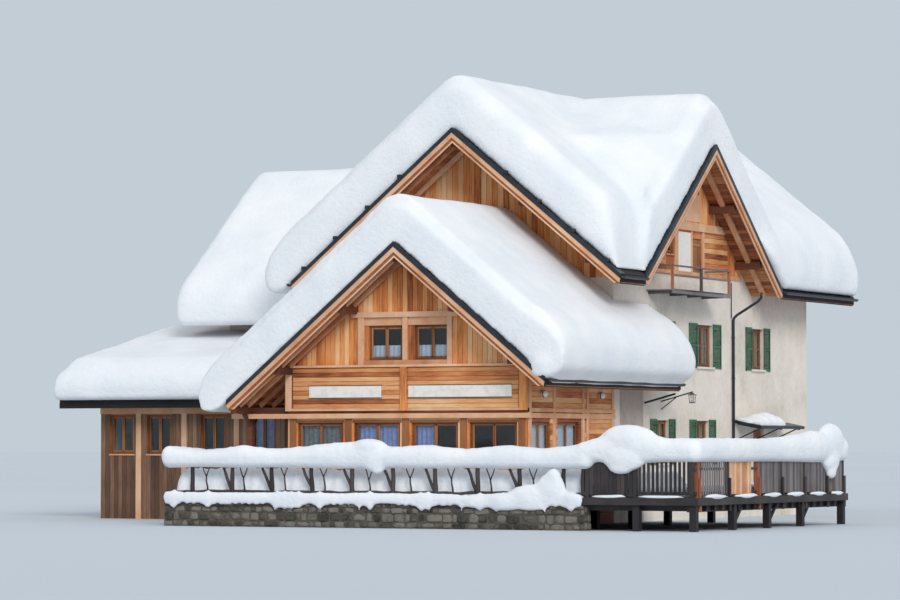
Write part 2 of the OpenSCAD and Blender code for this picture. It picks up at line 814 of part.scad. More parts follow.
// Slatted railing along the front right and the right side
slat_x = deck_right - 150;
module slat_run(len) {
    post = 120;
    bays = round(len / 1900);
    rail = 90;
    for (i = [0:bays])
        span(i * (len - post) / bays, i * (len - post) / bays + post, -post / 2, post / 2,
            floor_0, slat_rail_z - rail);
    span(0, len, -post / 2, post / 2, slat_rail_z - rail, slat_rail_z);
    span(0, len, -30, 30, floor_0 + 80, floor_0 + 170);
    for (x = [slat_pitch : slat_pitch : len - slat_pitch])
        span(x, x + 80, -15, 15, floor_0 + 80, slat_rail_z - rail);
}
module slat_railing_front() {
    color(DARK)
    translate([rail_split + 60, rail_y, 0]) slat_run(slat_x - rail_split - 120);
}
module slat_railing_side() {
    color(DARK)
    translate([slat_x, rail_y - 60, 0]) rotate([0, 0, 90]) slat_run(deck_back - rail_y);
}

// Snow. A cubic curve through four control points rounds each edge.
function bez(p, t) = pow(1 - t, 3) * p[0] + 3 * t * pow(1 - t, 2) * p[1]
    + 3 * t * t * (1 - t) * p[2] + pow(t, 3) * p[3];
NOSE_STEPS = 8;
// Control points of an edge, measured outwards from the eave and upwards from it:
// one edge hangs over the eave, the other stands upright and bulges out a little
function hanging(t) = [[0, 0], [1150, -1150], [1850, 600], [200, t - 200 * slope]];
function upright(t, out) =
    [[0, 0], [out, 50], [out - 40, t - 250], [-650, t + 650 * slope]];
bulge = 520;
function nose(p, e, z, s) = [
    for (i = [0:NOSE_STEPS]) let (q = bez(p, i / NOSE_STEPS)) [e + s * q[0], z + q[1]]];
function flip(list) = [for (i = [len(list) - 1 : -1 : 0]) list[i]];
// Section of the snow on a gabled roof, rounded at the ridge
module snow_section(c, ridge_z, left, right, t, nl, nr) {
    r = 900;
    top = ridge_z + t - r / cos(pitch);
    polygon(concat(
        [[c, ridge_z - snow_root]],
        nose(nl, c - left, drop(ridge_z, left), -1),
        [for (a = [90 + pitch : -pitch / 3 : 90 - pitch])
            [c + r * cos(a), top + r * sin(a)]],
        flip(nose(nr, c + right, drop(ridge_z, right), 1))));
}
edge_in = 300;
// Front of the cross gable the snow's edge leans inwards from the eave
lean = -180;
module main_snow_body() {
    t = snow_t;
    for (s = [[edge_in, t], [0, t - 350]]) {
        along_y(verge_f + s[0], verge_b - s[0])
            snow_section(ridge_x, main_ridge_z, eave_half, eave_half, s[1],
                hanging(s[1]), upright(s[1], lean));
        along_y(cross_y, verge_b - s[0])
            snow_section(ridge_x, main_ridge_z, eave_half, eave_half, s[1],
                hanging(s[1]), upright(s[1], bulge));
    }
}
// The snow on the cross gable stays back from the corner that both roofs share
corner_gap = 60;
module cross_snow_body() {
    t = snow_t;
    for (s = [[edge_in, t], [0, t - 350]])
        along_x(ridge_x + snow_start, eave_r - s[0])
            snow_section(cross_y, cross_ridge_z, cross_half - corner_gap,
                cross_half - corner_gap, s[1], upright(s[1], 0), upright(s[1], 0));
}
module wing_snow_body() {
    half = wing_half + wing_eave;
    for (s = [[edge_in, snow_t], [0, snow_t - 350]])
        along_x(wing_verge + s[0], ridge_x - snow_start)
            snow_section(cross_y, wing_ridge_z, half, half, s[1], hanging(s[1]),
                hanging(s[1]));
}
module main_roof_snow() {
    color(SNOW) difference() {
        union() {
            main_snow_body();
            cross_snow_body();
        }
        below_main(0);
        below_cross();
        wing_snow_body();
        below_wing();
        chimney_shaft(wall_gap);
    }
}
module left_wing_snow() {
    color(SNOW) difference() {
        wing_snow_body();
        below_main(0);
        below_wing();
    }
}
module annex_snow_section(y0, y1, t) {
    e = annex_top(y0);
    polygon(concat([[y1, annex_top(y1)]],
        nose([[0, 0], [700, -500], [950, 900], [-300, t + 300 * annex_slope]], y0, e, -1),
        [[y1, annex_top(y1) + t]]));
}
module annex_snow() {
    x0 = annex_left - annex_over;
    color(SNOW) difference() {
        union() {
            along_x(x0 + edge_in, annex_right) annex_snow_section(annex_eave_y, wing_front,
                annex_snow_t);
            along_x(x0, annex_right) annex_snow_section(annex_eave_y, wing_front,
                annex_snow_t - 350);
            along_x(x0 + edge_in, wing_left) annex_snow_section(annex_eave_y, annex_end_y - 300,
                annex_snow_t);
            along_x(x0, wing_left) annex_snow_section(annex_eave_y, annex_end_y,
                annex_snow_t - 350);
        }
        fw_snow_body();
        left_wing_snow();
    }
}
fw_bulge = 1000;
module fw_snow_body() {
    for (s = [[200, fw_snow_t], [0, fw_snow_t - 350]])
        along_y(s[0], fw_eave_back - s[0])
            snow_section(0, fw_ridge_z, fw_reach_l, fw_reach_r, s[1],
                hanging(s[1]), upright(s[1], fw_bulge));
}
module front_wing_snow() {
    color(SNOW) difference() {
        fw_snow_body();
        along_y(-past, far) below_section(0, fw_ridge_z, fw_reach_l);
        span(-far, main_right + wall_gap, main_front, far, 0, far);
        below_annex(annex_left - annex_over - past, annex_right, 0);
    }
}
// Snow on the railings and on the floor of the terrace
RAIL_SNOW_W = 760;
module ridge_of_snow(h, w) {
    polygon(concat([[-w / 2, 0]], [for (a = [180 : -30 : 0])
        [w / 2 * cos(a), h * 0.35 + h * 0.65 * sin(a)]], [[w / 2, 0]]));
}
module terrace_snow() {
    w = RAIL_SNOW_W;
    h = 800;
    lie = 350;
    color(SNOW) {
        translate([0, rail_y, branch_rail_z]) along_x(deck_left + 100, rail_split - 10)
            ridge_of_snow(h, w);
        translate([0, rail_y, slat_rail_z]) along_x(rail_split, slat_x + w / 2)
            ridge_of_snow(h - 200, w);
        translate([slat_x, 0, slat_rail_z]) along_y(rail_y + w / 2, deck_back)
            ridge_of_snow(h - 200, w);
        span(deck_left + 100, rail_split, rail_y + 150, fw_front - 500, floor_0,
            floor_0 + lie);
        span(rail_split, slat_x - 150, rail_y + 150, deck_back - 300, floor_0,
            floor_0 + lie);
    }
}
// The whole is placed with the middle of its footprint at the origin
module place() {
    x0 = annex_left - annex_over;
    x1 = slat_x + RAIL_SNOW_W / 2;
    y0 = rail_y - RAIL_SNOW_W / 2;
    translate([-(x0 + x1) / 2, -(y0 + verge_b) / 2, 0]) children();
}

place() main_front_wall();
place() main_right_wall();
place() main_left_wall();
place() main_back_wall();
place() main_gables();
place() main_floors();
place() main_roof();
place() cross_gable_wall();
place() cross_gable_roof();
place() balcony();
place() chimney();
place() left_wing_side_walls();
place() left_wing_end_wall();
place() left_wing_roof();
place() left_floors();
place() annex_front_wall();
place() annex_end_walls();
place() annex_back_wall();
place() annex_roof();
place() front_wing_front_wall();
place() front_wing_gable();
place() front_wing_right_wall();
place() front_wing_left_wall();
place() front_wing_floors();
place() front_wing_roof();
place() parapet();
place() sign_boards();
place() porch();
place() purlins();
place() barge_boards();
place() gutters();
place() window_frames();
place() window_glass();
place() shutters();
place() doors();
place() canopy();
place() lamps();
place() terrace_floor();
place() side_terrace_floor();
place() terrace_wall();
place() terrace_posts();
place() branch_railing();
place() slat_railing_front();
place() slat_railing_side();
place() main_roof_snow();
place() left_wing_snow();
place() annex_snow();
place() front_wing_snow();
place() terrace_snow();
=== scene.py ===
# %% [markdown]
# # An alpine chalet under deep snow
# The building has a stone block with timber gables, a timber wing in front, a lower wing
# and a lean-to on the left, and a terrace on a rubble wall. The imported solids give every
# size and place. This notebook adds what they leave plain: boards, rafters, window bars,
# louvres, stones, round timber and soft snow.

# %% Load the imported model
import math
import random
import bmesh
import bpy
from mathutils import Matrix, Vector, noise


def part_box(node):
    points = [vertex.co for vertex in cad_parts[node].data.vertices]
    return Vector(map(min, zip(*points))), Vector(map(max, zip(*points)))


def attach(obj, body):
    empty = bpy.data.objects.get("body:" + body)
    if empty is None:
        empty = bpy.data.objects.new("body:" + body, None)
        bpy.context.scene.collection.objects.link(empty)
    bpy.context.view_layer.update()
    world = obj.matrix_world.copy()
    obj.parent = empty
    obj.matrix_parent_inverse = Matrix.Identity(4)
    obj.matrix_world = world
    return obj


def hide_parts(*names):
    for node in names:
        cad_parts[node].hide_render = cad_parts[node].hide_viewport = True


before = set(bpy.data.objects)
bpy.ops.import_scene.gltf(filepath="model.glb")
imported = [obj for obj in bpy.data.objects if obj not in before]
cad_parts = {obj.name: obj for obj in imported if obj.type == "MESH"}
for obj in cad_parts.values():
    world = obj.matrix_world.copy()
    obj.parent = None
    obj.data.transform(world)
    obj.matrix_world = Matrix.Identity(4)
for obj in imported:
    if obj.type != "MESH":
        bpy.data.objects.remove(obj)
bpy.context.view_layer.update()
random.seed(7)

# %% [markdown]
# A house is measured from one corner, not from the middle of its footprint. Everything
# below counts X from the front wing's ridge, Y from its front edge and Z from the ground,
# in metres. One shift then puts a finished piece in the frame.

# %% Where the house's own measure starts
FW_REACH_L = 5.9
FW_REACH_R = 5.1
ORIGIN = Vector((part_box("front_wing_roof")[0].x + FW_REACH_L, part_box("front_wing_roof")[0].y, 0.0))


def measure(node):
    """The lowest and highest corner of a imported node, in the house's own measure."""
    low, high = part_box(node)
    return low - ORIGIN, high - ORIGIN


PITCH = math.radians(39)
SLOPE = math.tan(PITCH)
ROOF_T = 0.2
ROOF_TV = ROOF_T / math.cos(PITCH)
FW_RIDGE_Z = 8.6
FW_FRONT = 1.1
FW_LEFT = -4.3
MAIN_RIGHT = 4.0
MAIN_LEFT = -5.6
MAIN_FRONT = 7.2
MAIN_BACK = 23.5
MAIN_RIDGE_X = -0.8
MAIN_RIDGE_Z = 12.53
MAIN_HALF = 5.9
STONE_TOP = 7.75
CROSS_Y = 12.9
CROSS_RIDGE_Z = 12.33
CROSS_HALF = MAIN_HALF - (MAIN_RIDGE_Z - CROSS_RIDGE_Z) / SLOPE
EAVE_X = MAIN_RIGHT + 1.1
WING_LEFT = -11.6
WING_RIDGE_Z = 10.3
WING_HALF = 3.3
WING_EAVE = 1.0
FLOOR = 0.95
print("house origin in the frame", [round(v, 3) for v in ORIGIN])

# %% [markdown]
# ## The camera and the light
# The photograph was taken from far off with the chalet small in it. The camera stands where
# the photographer stood, and a lens three times as long brings the house up to a size at
# which boards and shutters can be judged. Its direction comes from the middle of the house
# in the picture.

# %% Camera
PHOTO_WIDTH = 900
PHOTO_FOCAL = 1150.0
CLOSER = 3.05
SENSOR = 36.0
PHOTO_TURN = math.degrees(0.375)
HORIZON_ROW = 288.0
HOUSE_COLUMN = 326.0
HOUSE_ROW = 240.0
STAND = Vector((50.8, -93.3, 2.4))
turn = PHOTO_TURN + math.degrees(math.atan((PHOTO_WIDTH / 2 - HOUSE_COLUMN) / PHOTO_FOCAL))
lift = math.degrees(math.atan((HORIZON_ROW - HOUSE_ROW) / PHOTO_FOCAL))
lens = bpy.data.cameras.new("camera")
lens.sensor_width = SENSOR
lens.lens = SENSOR * PHOTO_FOCAL / PHOTO_WIDTH * CLOSER
lens.clip_end = 5000.0
camera = bpy.data.objects.new("camera", lens)
camera.location = STAND + ORIGIN
camera.rotation_euler = (math.radians(90 + lift), 0, math.radians(turn))
bpy.context.scene.collection.objects.link(camera)
bpy.context.scene.camera = camera
bpy.context.scene.view_settings.view_transform = "Standard"
print("camera turned", round(turn, 2), "degrees, lens", round(lens.lens, 1), "mm")

# %% [markdown]
# Every finish below is a small tree of nodes. One helper adds a node with its settings and
# its inputs, so a material reads from top to bottom as the steps a painter would take.
# Colours are written as on a screen, and one function turns them to linear light.

# %% Colour and node helpers
def linear(code):
    """An sRGB hex colour as the linear values that a socket takes."""
    parts = [int(code[i:i + 2], 16) / 255 for i in (1, 3, 5)]
    return (*[c / 12.92 if c <= 0.04045 else ((c + 0.055) / 1.055) ** 2.4 for c in parts], 1.0)


def add(tree, kind, inputs=None, stops=None, **settings):
    """Adds a node, with its settings, its inputs as values or links, and a ramp's stops."""
    node = tree.nodes.new(kind)
    for name, value in settings.items():
        setattr(node, name, value)
    for i, (place, code) in enumerate(stops or []):
        marks = node.color_ramp.elements
        mark = marks[i] if i < 2 else marks.new(place)
        mark.position = place
        mark.color = linear(code)
    for socket, value in (inputs or {}).items():
        if isinstance(value, bpy.types.NodeSocket):
            tree.links.new(value, node.inputs[socket])
        else:
            node.inputs[socket].default_value = value
    return node


def blank(name):
    """A new material with an empty tree, and the point where its patterns are read."""
    made = bpy.data.materials.new(name)
    made.use_nodes = True
    made.node_tree.nodes.clear()
    place = add(made.node_tree, "ShaderNodeTexCoord").outputs["Object"]
    return made, made.node_tree, place


def close(made, relief=None, depth=0.01, **sockets):
    """Ends a material with a Principled shader, and with relief where it has some."""
    tree = made.node_tree
    values = {name.replace("_", " "): value for name, value in sockets.items()}
    if relief:
        bump = add(tree, "ShaderNodeBump", {"Height": relief, "Distance": depth})
        values["Normal"] = bump.outputs[0]
    shader = add(tree, "ShaderNodeBsdfPrincipled", values)
    add(tree, "ShaderNodeOutputMaterial", {"Surface": shader.outputs[0]})
    return made


# %% Soft studio light
WORLD_LIGHT = 0.72
SUN_LIGHT = 1.75
SUN_WIDTH = math.radians(24)
SUN_TURN = (math.radians(60), 0, math.radians(42))
BACKDROP = "#C3CDD6"
world = bpy.data.worlds.new("studio")
bpy.context.scene.world = world
world.use_nodes = True
world.node_tree.nodes.clear()
tree = world.node_tree
rays = add(tree, "ShaderNodeLightPath")
seen = add(tree, "ShaderNodeMath", {0: rays.outputs["Is Camera Ray"],
    1: rays.outputs["Is Glossy Ray"]}, operation="MAXIMUM")
seen = add(tree, "ShaderNodeMath", {0: seen.outputs[0],
    1: rays.outputs["Is Transmission Ray"]}, operation="MAXIMUM")
soft = add(tree, "ShaderNodeBackground", {"Color": linear("#EEF2F8"), "Strength": WORLD_LIGHT})
plain = add(tree, "ShaderNodeBackground", {"Color": linear(BACKDROP), "Strength": 1.0})
both = add(tree, "ShaderNodeMixShader", {0: seen.outputs[0], 1: soft.outputs[0],
    2: plain.outputs[0]})
add(tree, "ShaderNodeOutputWorld", {"Surface": both.outputs[0]})
lamp = bpy.data.lights.new("high_cloud", "SUN")
lamp.energy = SUN_LIGHT
lamp.angle = SUN_WIDTH
lamp.color = (1.0, 0.975, 0.94)
sun = bpy.data.objects.new("high_cloud", lamp)
sun.rotation_euler = SUN_TURN
bpy.context.scene.collection.objects.link(sun)
print("sun", SUN_LIGHT, "and sky", WORLD_LIGHT)

# %% A plain pale floor
FLOOR_RADIUS = 1400.0
FLOOR_SIDES = 64
made, tree, place = blank("matt_grey_floor")
shade = add(tree, "ShaderNodeTexNoise", {"Vector": place, "Scale": 0.02})
tone = add(tree, "ShaderNodeValToRGB", {"Fac": shade.outputs[0]},
    stops=[(0.3, "#C6CFD8"), (0.7, "#CAD3DB")])
close(made, Base_Color=tone.outputs[0], Roughness=0.9)
angles = [2 * math.pi * k / FLOOR_SIDES for k in range(FLOOR_SIDES)]
rim = [(FLOOR_RADIUS * math.cos(a), FLOOR_RADIUS * math.sin(a), 0.0) for a in angles]
disc = bpy.data.meshes.new("floor")
disc.from_pydata(rim, [], [list(range(FLOOR_SIDES))])
disc.materials.append(made)
ground = bpy.data.objects.new("floor", disc)
bpy.context.scene.collection.objects.link(ground)
print("floor", FLOOR_RADIUS, "m in radius")

# %% [markdown]
# ## Finishes
# Old larch boards differ from one to the next, and each has long streaks along its length.
# The first comes from a number that every board carries, the second from noise that is
# stretched along the grain. The same tree paints fresh, red, grey or nearly black timber.

# %% How timber is painted
GRAIN_MM = 45


def timber(name, shades, along, roughness=0.6, patch=0.55):
    """Sawn or round timber: a tint for each board, streaks along it and broad patches of tone."""
    made, tree, place = blank(name)
    fine = 1000 / GRAIN_MM
    scale = tuple(fine / 14 if axis in along else fine for axis in "XYZ")
    spot = add(tree, "ShaderNodeMapping", {"Vector": place, "Scale": scale})
    streak = add(tree, "ShaderNodeTexNoise", {"Vector": spot.outputs[0], "Scale": 1.0,
        "Detail": 5.0, "Roughness": 0.65})
    wide = add(tree, "ShaderNodeTexNoise", {"Vector": place, "Scale": patch, "Detail": 2.0})
    board = add(tree, "ShaderNodeAttribute", attribute_name="tint")
    parts = add(tree, "ShaderNodeMath", {0: board.outputs["Fac"], 1: 0.34}, operation="MULTIPLY")
    parts = add(tree, "ShaderNodeMath", {0: streak.outputs[0], 1: 0.5, 2: parts.outputs[0]},
        operation="MULTIPLY_ADD")
    parts = add(tree, "ShaderNodeMath", {0: wide.outputs[0], 1: 0.4, 2: parts.outputs[0]},
        operation="MULTIPLY_ADD")
    colour = add(tree, "ShaderNodeValToRGB", {"Fac": parts.outputs[0]}, stops=shades)
    rough = add(tree, "ShaderNodeMapRange", {"Value": streak.outputs[0], "To Min": roughness,
        "To Max": min(1.0, roughness + 0.25)})
    return close(made, relief=streak.outputs[0], depth=0.004, Base_Color=colour.outputs[0],
        Roughness=rough.outputs[0])


# %% Timbers
# Oiled larch, sun-browned: orange where the oil holds, red-brown where it is old
WARM = [(0.3, "#4E2614"), (0.43, "#97522A"), (0.57, "#CA7F4A"), (0.72, "#DFA36C"),
    (0.9, "#F0CCA0")]
# The same larch in the gables, painted lighter to stand in for the light the snow throws up under the
# eaves
LARCH_PAINTED_LIGHTER = [(0.3, "#5C2E19"), (0.43, "#AC6132"), (0.57, "#E0914F"), (0.72, "#F0B47A"),
    (0.9, "#F8DAB0")]
# Fresh planed larch, pale and slightly pink
PALE = [(0.3, "#80492C"), (0.48, "#B87C55"), (0.66, "#D6A27B"), (0.9, "#E8C5A6")]
# Sawn spruce boards under the roofs, orange-brown, painted lighter to stand in for the light the snow
# throws up from below
SPRUCE_PAINTED_LIGHTER = [(0.3, "#5E3423"), (0.52, "#985833"), (0.7, "#BD7C50"), (0.9, "#D6A377")]
# Brown boards of the lean-to, grey from the weather and painted darker for the shade under its roof
BROWN_PAINTED_DARKER = [(0.3, "#35251C"), (0.52, "#634634"), (0.7, "#84634B"), (0.9, "#A3856A")]
# Older red-brown spruce of purlins
RED = [(0.3, "#3F241A"), (0.52, "#6E3B26"), (0.7, "#8F5435"), (0.9, "#AC7350")]
# Wet round timber, nearly black
BLACK = [(0.25, "#141112"), (0.55, "#292426"), (0.85, "#4B4342")]
# Silvered boards, grey with brown left in the grain
SILVER = [(0.25, "#37322F"), (0.5, "#5C5655"), (0.75, "#837D80"), (0.95, "#A19C9F")]
# Varnished window timber, dark honey brown
HONEY = [(0.25, "#4B2C18"), (0.5, "#7A4A28"), (0.75, "#A06A3E"), (0.95, "#B98657")]
# Planed floor boards, walked pale
PLANK = [(0.2, "#6B4F37"), (0.6, "#9C7A58"), (0.95, "#B99873")]
# Orange-brown posts of the side railing and the balcony
RUST = [(0.2, "#5E3220"), (0.55, "#95583A"), (0.9, "#BC8160")]
# The upright boards take the larch painted lighter for the light from below under the eaves
upright_larch_painted_lighter = timber("oiled_larch_upright_painted_lighter", LARCH_PAINTED_LIGHTER, "Z")
warm_level = timber("oiled_larch_level", WARM, "XY")
pale_larch = timber("planed_larch", PALE, "XYZ", patch=0.9)
# The boards under the roofs take the spruce painted lighter for the light from below
soffit_spruce = timber("sawn_spruce", SPRUCE_PAINTED_LIGHTER, "XY")
old_spruce = timber("old_spruce", RED, "XY")
# The lean-to's boards take the brown painted darker for the shade under its roof
lean_to_upright_painted_shade = timber("brown_upright_with_painted_shade", BROWN_PAINTED_DARKER, "Z")
floor_larch = timber("planed_floor_larch", PLANK, "X")
wet_timber = timber("wet_round_timber", BLACK, "XYZ", roughness=0.5)
tarred_edge = timber("tarred_roof_edge", BLACK, "XY", roughness=0.7)
silver_boards = timber("silvered_boards", SILVER, "Z", roughness=0.7)
rust_timber = timber("orange_brown_posts", RUST, "Z")
honey_timber = timber("varnished_window_timber", HONEY, "Z", roughness=0.4)
print("timbers", len(bpy.data.materials) - 1)

# %% [markdown]
# Lime plaster over rubble is never one colour. Broad clouds come from the wall beneath,
# small specks from the sand, and dark streaks run down from wet edges. On the right wall the
# strip next to the front wing was rendered in grey, so that finish changes along Y.

# %% Plaster
GREY_RENDER_END = 9.45
GREY_RENDER_TOP = 4.6
GREY_RENDER = [(0.45, "#6F6862"), (0.6, "#A2988F"), (0.75, "#B9AFA5")]


def plaster(name, shades, grey_end=None):
    """Trowelled lime plaster: clouds, specks, streaks that run down and an uneven skin."""
    made, tree, place = blank(name)
    cloud = add(tree, "ShaderNodeTexNoise", {"Vector": place, "Scale": 0.55, "Detail": 6.0,
        "Roughness": 0.62})
    speck = add(tree, "ShaderNodeTexNoise", {"Vector": place, "Scale": 9.0, "Detail": 3.0})
    tall = add(tree, "ShaderNodeMapping", {"Vector": place, "Scale": (2.2, 2.2, 0.22)})
    run = add(tree, "ShaderNodeTexNoise", {"Vector": tall.outputs[0], "Scale": 1.0, "Detail": 3.0})
    mixed = add(tree, "ShaderNodeMath", {0: speck.outputs[0], 1: 0.22, 2: cloud.outputs[0]},
        operation="MULTIPLY_ADD")
    mixed = add(tree, "ShaderNodeMath", {0: run.outputs[0], 1: 0.18, 2: mixed.outputs[0]},
        operation="MULTIPLY_ADD")
    colour = add(tree, "ShaderNodeValToRGB", {"Fac": mixed.outputs[0]}, stops=shades).outputs[0]
    if grey_end is not None:
        axes = add(tree, "ShaderNodeSeparateXYZ", {0: place})
        near = add(tree, "ShaderNodeMath", {0: axes.outputs["Y"], 1: grey_end},
            operation="LESS_THAN")
        low = add(tree, "ShaderNodeMath", {0: axes.outputs["Z"], 1: GREY_RENDER_TOP},
            operation="LESS_THAN")
        where = add(tree, "ShaderNodeMath", {0: near.outputs[0], 1: low.outputs[0]},
            operation="MULTIPLY")
        grey = add(tree, "ShaderNodeValToRGB", {"Fac": mixed.outputs[0]}, stops=GREY_RENDER)
        colour = add(tree, "ShaderNodeMix", {0: where.outputs[0], 6: colour,
            7: grey.outputs[0]}, data_type="RGBA").outputs[2]
    skin = add(tree, "ShaderNodeTexNoise", {"Vector": place, "Scale": 4.5, "Detail": 5.0})
    return close(made, relief=skin.outputs[0], depth=0.03, Base_Color=colour, Roughness=0.92)


LIME = [(0.4, "#A59A8D"), (0.54, "#CEC4B7"), (0.7, "#DED5C9"), (0.9, "#EBE3D9")]
lime_plaster = plaster("lime_plaster", LIME)
right_plaster = plaster("lime_plaster_and_grey_render", LIME, ORIGIN.y + GREY_RENDER_END)
print("plasters", lime_plaster.name, "and", right_plaster.name)


# %% Stone and snow
def fieldstone(name, shades, size):
    """Rough stone: a tint for each block, blotches of lichen and a broken face."""
    made, tree, place = blank(name)
    blotch = add(tree, "ShaderNodeTexNoise", {"Vector": place, "Scale": 1 / size, "Detail": 6.0,
        "Roughness": 0.7})
    block = add(tree, "ShaderNodeAttribute", attribute_name="tint")
    mixed = add(tree, "ShaderNodeMath", {0: block.outputs["Fac"], 1: 0.5, 2: blotch.outputs[0]},
        operation="MULTIPLY_ADD")
    colour = add(tree, "ShaderNodeValToRGB", {"Fac": mixed.outputs[0]}, stops=shades)
    return close(made, relief=blotch.outputs[0], depth=0.04, Base_Color=colour.outputs[0],
        Roughness=0.88)


RUBBLE = [(0.4, "#2A2A25"), (0.65, "#504E45"), (0.95, "#79746A")]
rubble = fieldstone("rubble_stone", RUBBLE, 0.25)
mortar = fieldstone("lime_mortar", [(0.3, "#4A443D"), (0.8, "#6C655C")], 0.08)


def settled_snow():
    """Settled snow: bright and matt, a touch bluer in slow patches, with a fine wind crust."""
    made, tree, place = blank("settled_snow")
    drift = add(tree, "ShaderNodeTexNoise", {"Vector": place, "Scale": 0.7, "Detail": 4.0})
    crust = add(tree, "ShaderNodeTexNoise", {"Vector": place, "Scale": 6.0, "Detail": 6.0,
        "Roughness": 0.7})
    colour = add(tree, "ShaderNodeValToRGB", {"Fac": drift.outputs[0]},
        stops=[(0.3, "#E4EAF0"), (0.7, "#F1F4F7")])
    return close(made, relief=crust.outputs[0], depth=0.035, Base_Color=colour.outputs[0],
        Roughness=0.75, Specular_IOR_Level=0.25)


snow = settled_snow()
print("with plaster, stone and snow", len(bpy.data.materials) - 1)

# %% [markdown]
# Paint, sheet metal, glass and cloth are man-made skins, so they vary less. Paint has chalked
# a little, coated sheet has a low satin gloss, and glass is left clear with a soft waviness.

# %% Paint, metal and cloth
def coat(name, shades, roughness, size=3.0, metallic=0.0, depth=0.002):
    """A thin skin of paint or cloth: two near tones in soft clouds, and slight waves."""
    made, tree, place = blank(name)
    cloud = add(tree, "ShaderNodeTexNoise", {"Vector": place, "Scale": size, "Detail": 5.0})
    board = add(tree, "ShaderNodeAttribute", attribute_name="tint")
    mixed = add(tree, "ShaderNodeMath", {0: board.outputs["Fac"], 1: 0.3, 2: cloud.outputs[0]},
        operation="MULTIPLY_ADD")
    colour = add(tree, "ShaderNodeValToRGB", {"Fac": mixed.outputs[0]}, stops=shades)
    return close(made, relief=cloud.outputs[0], depth=depth, Base_Color=colour.outputs[0],
        Roughness=roughness, Metallic=metallic)


GREEN = [(0.3, "#0B3F22"), (0.6, "#155A32"), (0.9, "#2F7549")]
green_paint = coat("chalked_green_oil_paint", GREEN, 0.45)
dark_sheet = coat("coated_steel_sheet", [(0.3, "#22262C"), (0.8, "#343A42")], 0.38, metallic=0.35)
white_paint = coat("white_painted_board", [(0.3, "#CFCAC2"), (0.7, "#ECE9E3")], 0.6, size=5.0)
white_linen = coat("white_linen", [(0.3, "#F0F1F4"), (0.8, "#FCFCFC")], 0.9, size=8.0)
blue_linen = coat("lilac_blue_linen", [(0.3, "#98A3D8"), (0.8, "#C4CAEC")], 0.9, size=6.0)
rose_linen = coat("rose_brown_linen", [(0.3, "#7C5348"), (0.8, "#B98B79")], 0.9, size=8.0)
grey_linen = coat("grey_linen", [(0.3, "#7B7674"), (0.8, "#A39D99")], 0.9, size=8.0)
print("with paint, metal and cloth", len(bpy.data.materials) - 1)

# %% Glass
GLASS_TINT = linear("#DCE4EA")


def float_glass():
    """Window glass: clear, smooth and a little wavy, and light from outside passes it."""
    made, tree, place = blank("float_glass")
    wave = add(tree, "ShaderNodeTexNoise", {"Vector": place, "Scale": 1.2})
    bump = add(tree, "ShaderNodeBump", {"Height": wave.outputs[0], "Distance": 0.01})
    glass = add(tree, "ShaderNodeBsdfPrincipled", {"Base Color": GLASS_TINT, "Roughness": 0.03,
        "IOR": 1.45, "Transmission Weight": 1.0, "Normal": bump.outputs[0]})
    rays = add(tree, "ShaderNodeLightPath")
    light = add(tree, "ShaderNodeMath", {0: rays.outputs["Is Shadow Ray"],
        1: rays.outputs["Is Diffuse Ray"]}, operation="MAXIMUM")
    clear = add(tree, "ShaderNodeBsdfTransparent", {"Color": GLASS_TINT})
    both = add(tree, "ShaderNodeMixShader", {0: light.outputs[0], 1: glass.outputs[0],
        2: clear.outputs[0]})
    add(tree, "ShaderNodeOutputMaterial", {"Surface": both.outputs[0]})
    return made


def opal_glass():
    """Opal lamp glass: milky and smooth."""
    made, tree, place = blank("opal_glass")
    haze = add(tree, "ShaderNodeTexNoise", {"Vector": place, "Scale": 12.0})
    colour = add(tree, "ShaderNodeValToRGB", {"Fac": haze.outputs[0]},
        stops=[(0.3, "#E6E4DC"), (0.7, "#F2F1EA")])
    return close(made, Base_Color=colour.outputs[0], Roughness=0.25)


clear_glass = float_glass()
milky_glass = opal_glass()
print("materials", len(bpy.data.materials) - 1)

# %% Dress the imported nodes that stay
DRESS = {
    lime_plaster: ["main_front_wall", "main_left_wall", "main_back_wall", "chimney",
        "left_wing_side_walls", "left_wing_end_wall", "annex_end_walls", "annex_back_wall"],
    right_plaster: ["main_right_wall"],
    upright_larch_painted_lighter: ["main_gables", "cross_gable_wall", "front_wing_gable", "annex_front_wall"],
    warm_level: ["front_wing_front_wall", "front_wing_right_wall", "front_wing_left_wall",
        "parapet"],
    old_spruce: ["purlins", "porch"],
    tarred_edge: ["main_roof", "cross_gable_roof", "left_wing_roof", "annex_roof",
        "front_wing_roof"],
    pale_larch: ["balcony", "barge_boards"],
    floor_larch: ["main_floors", "left_floors", "front_wing_floors"],
    honey_timber: ["window_frames", "doors"],
    clear_glass: ["window_glass"],
    milky_glass: ["lamps"],
    dark_sheet: ["gutters", "canopy"],
    green_paint: ["shutters"],
    white_paint: ["sign_boards"],
    mortar: ["terrace_wall"],
    wet_timber: ["terrace_floor", "side_terrace_floor", "terrace_posts", "branch_railing"],
    silver_boards: ["slat_railing_front", "slat_railing_side"],
    snow: ["main_roof_snow", "left_wing_snow", "annex_snow", "front_wing_snow", "terrace_snow"],
}
for made, names in DRESS.items():
    for name in names:
        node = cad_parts[name]
        node.data.materials.clear()
        node.data.materials.append(made)
print("dressed", sum(len(names) for names in DRESS.values()), "nodes")

# %% [markdown]
# ## A row of boards
# Most of a timber house is one shape repeated: a board, again and again, along a wall. This
# node tree lays such a row. It sets a block at each point of a line, varies its width and
# depth a little as a saw does, gives it a tint of its own, and trims what stands above a
# roof line, so that boards under a gable get slanting ends.

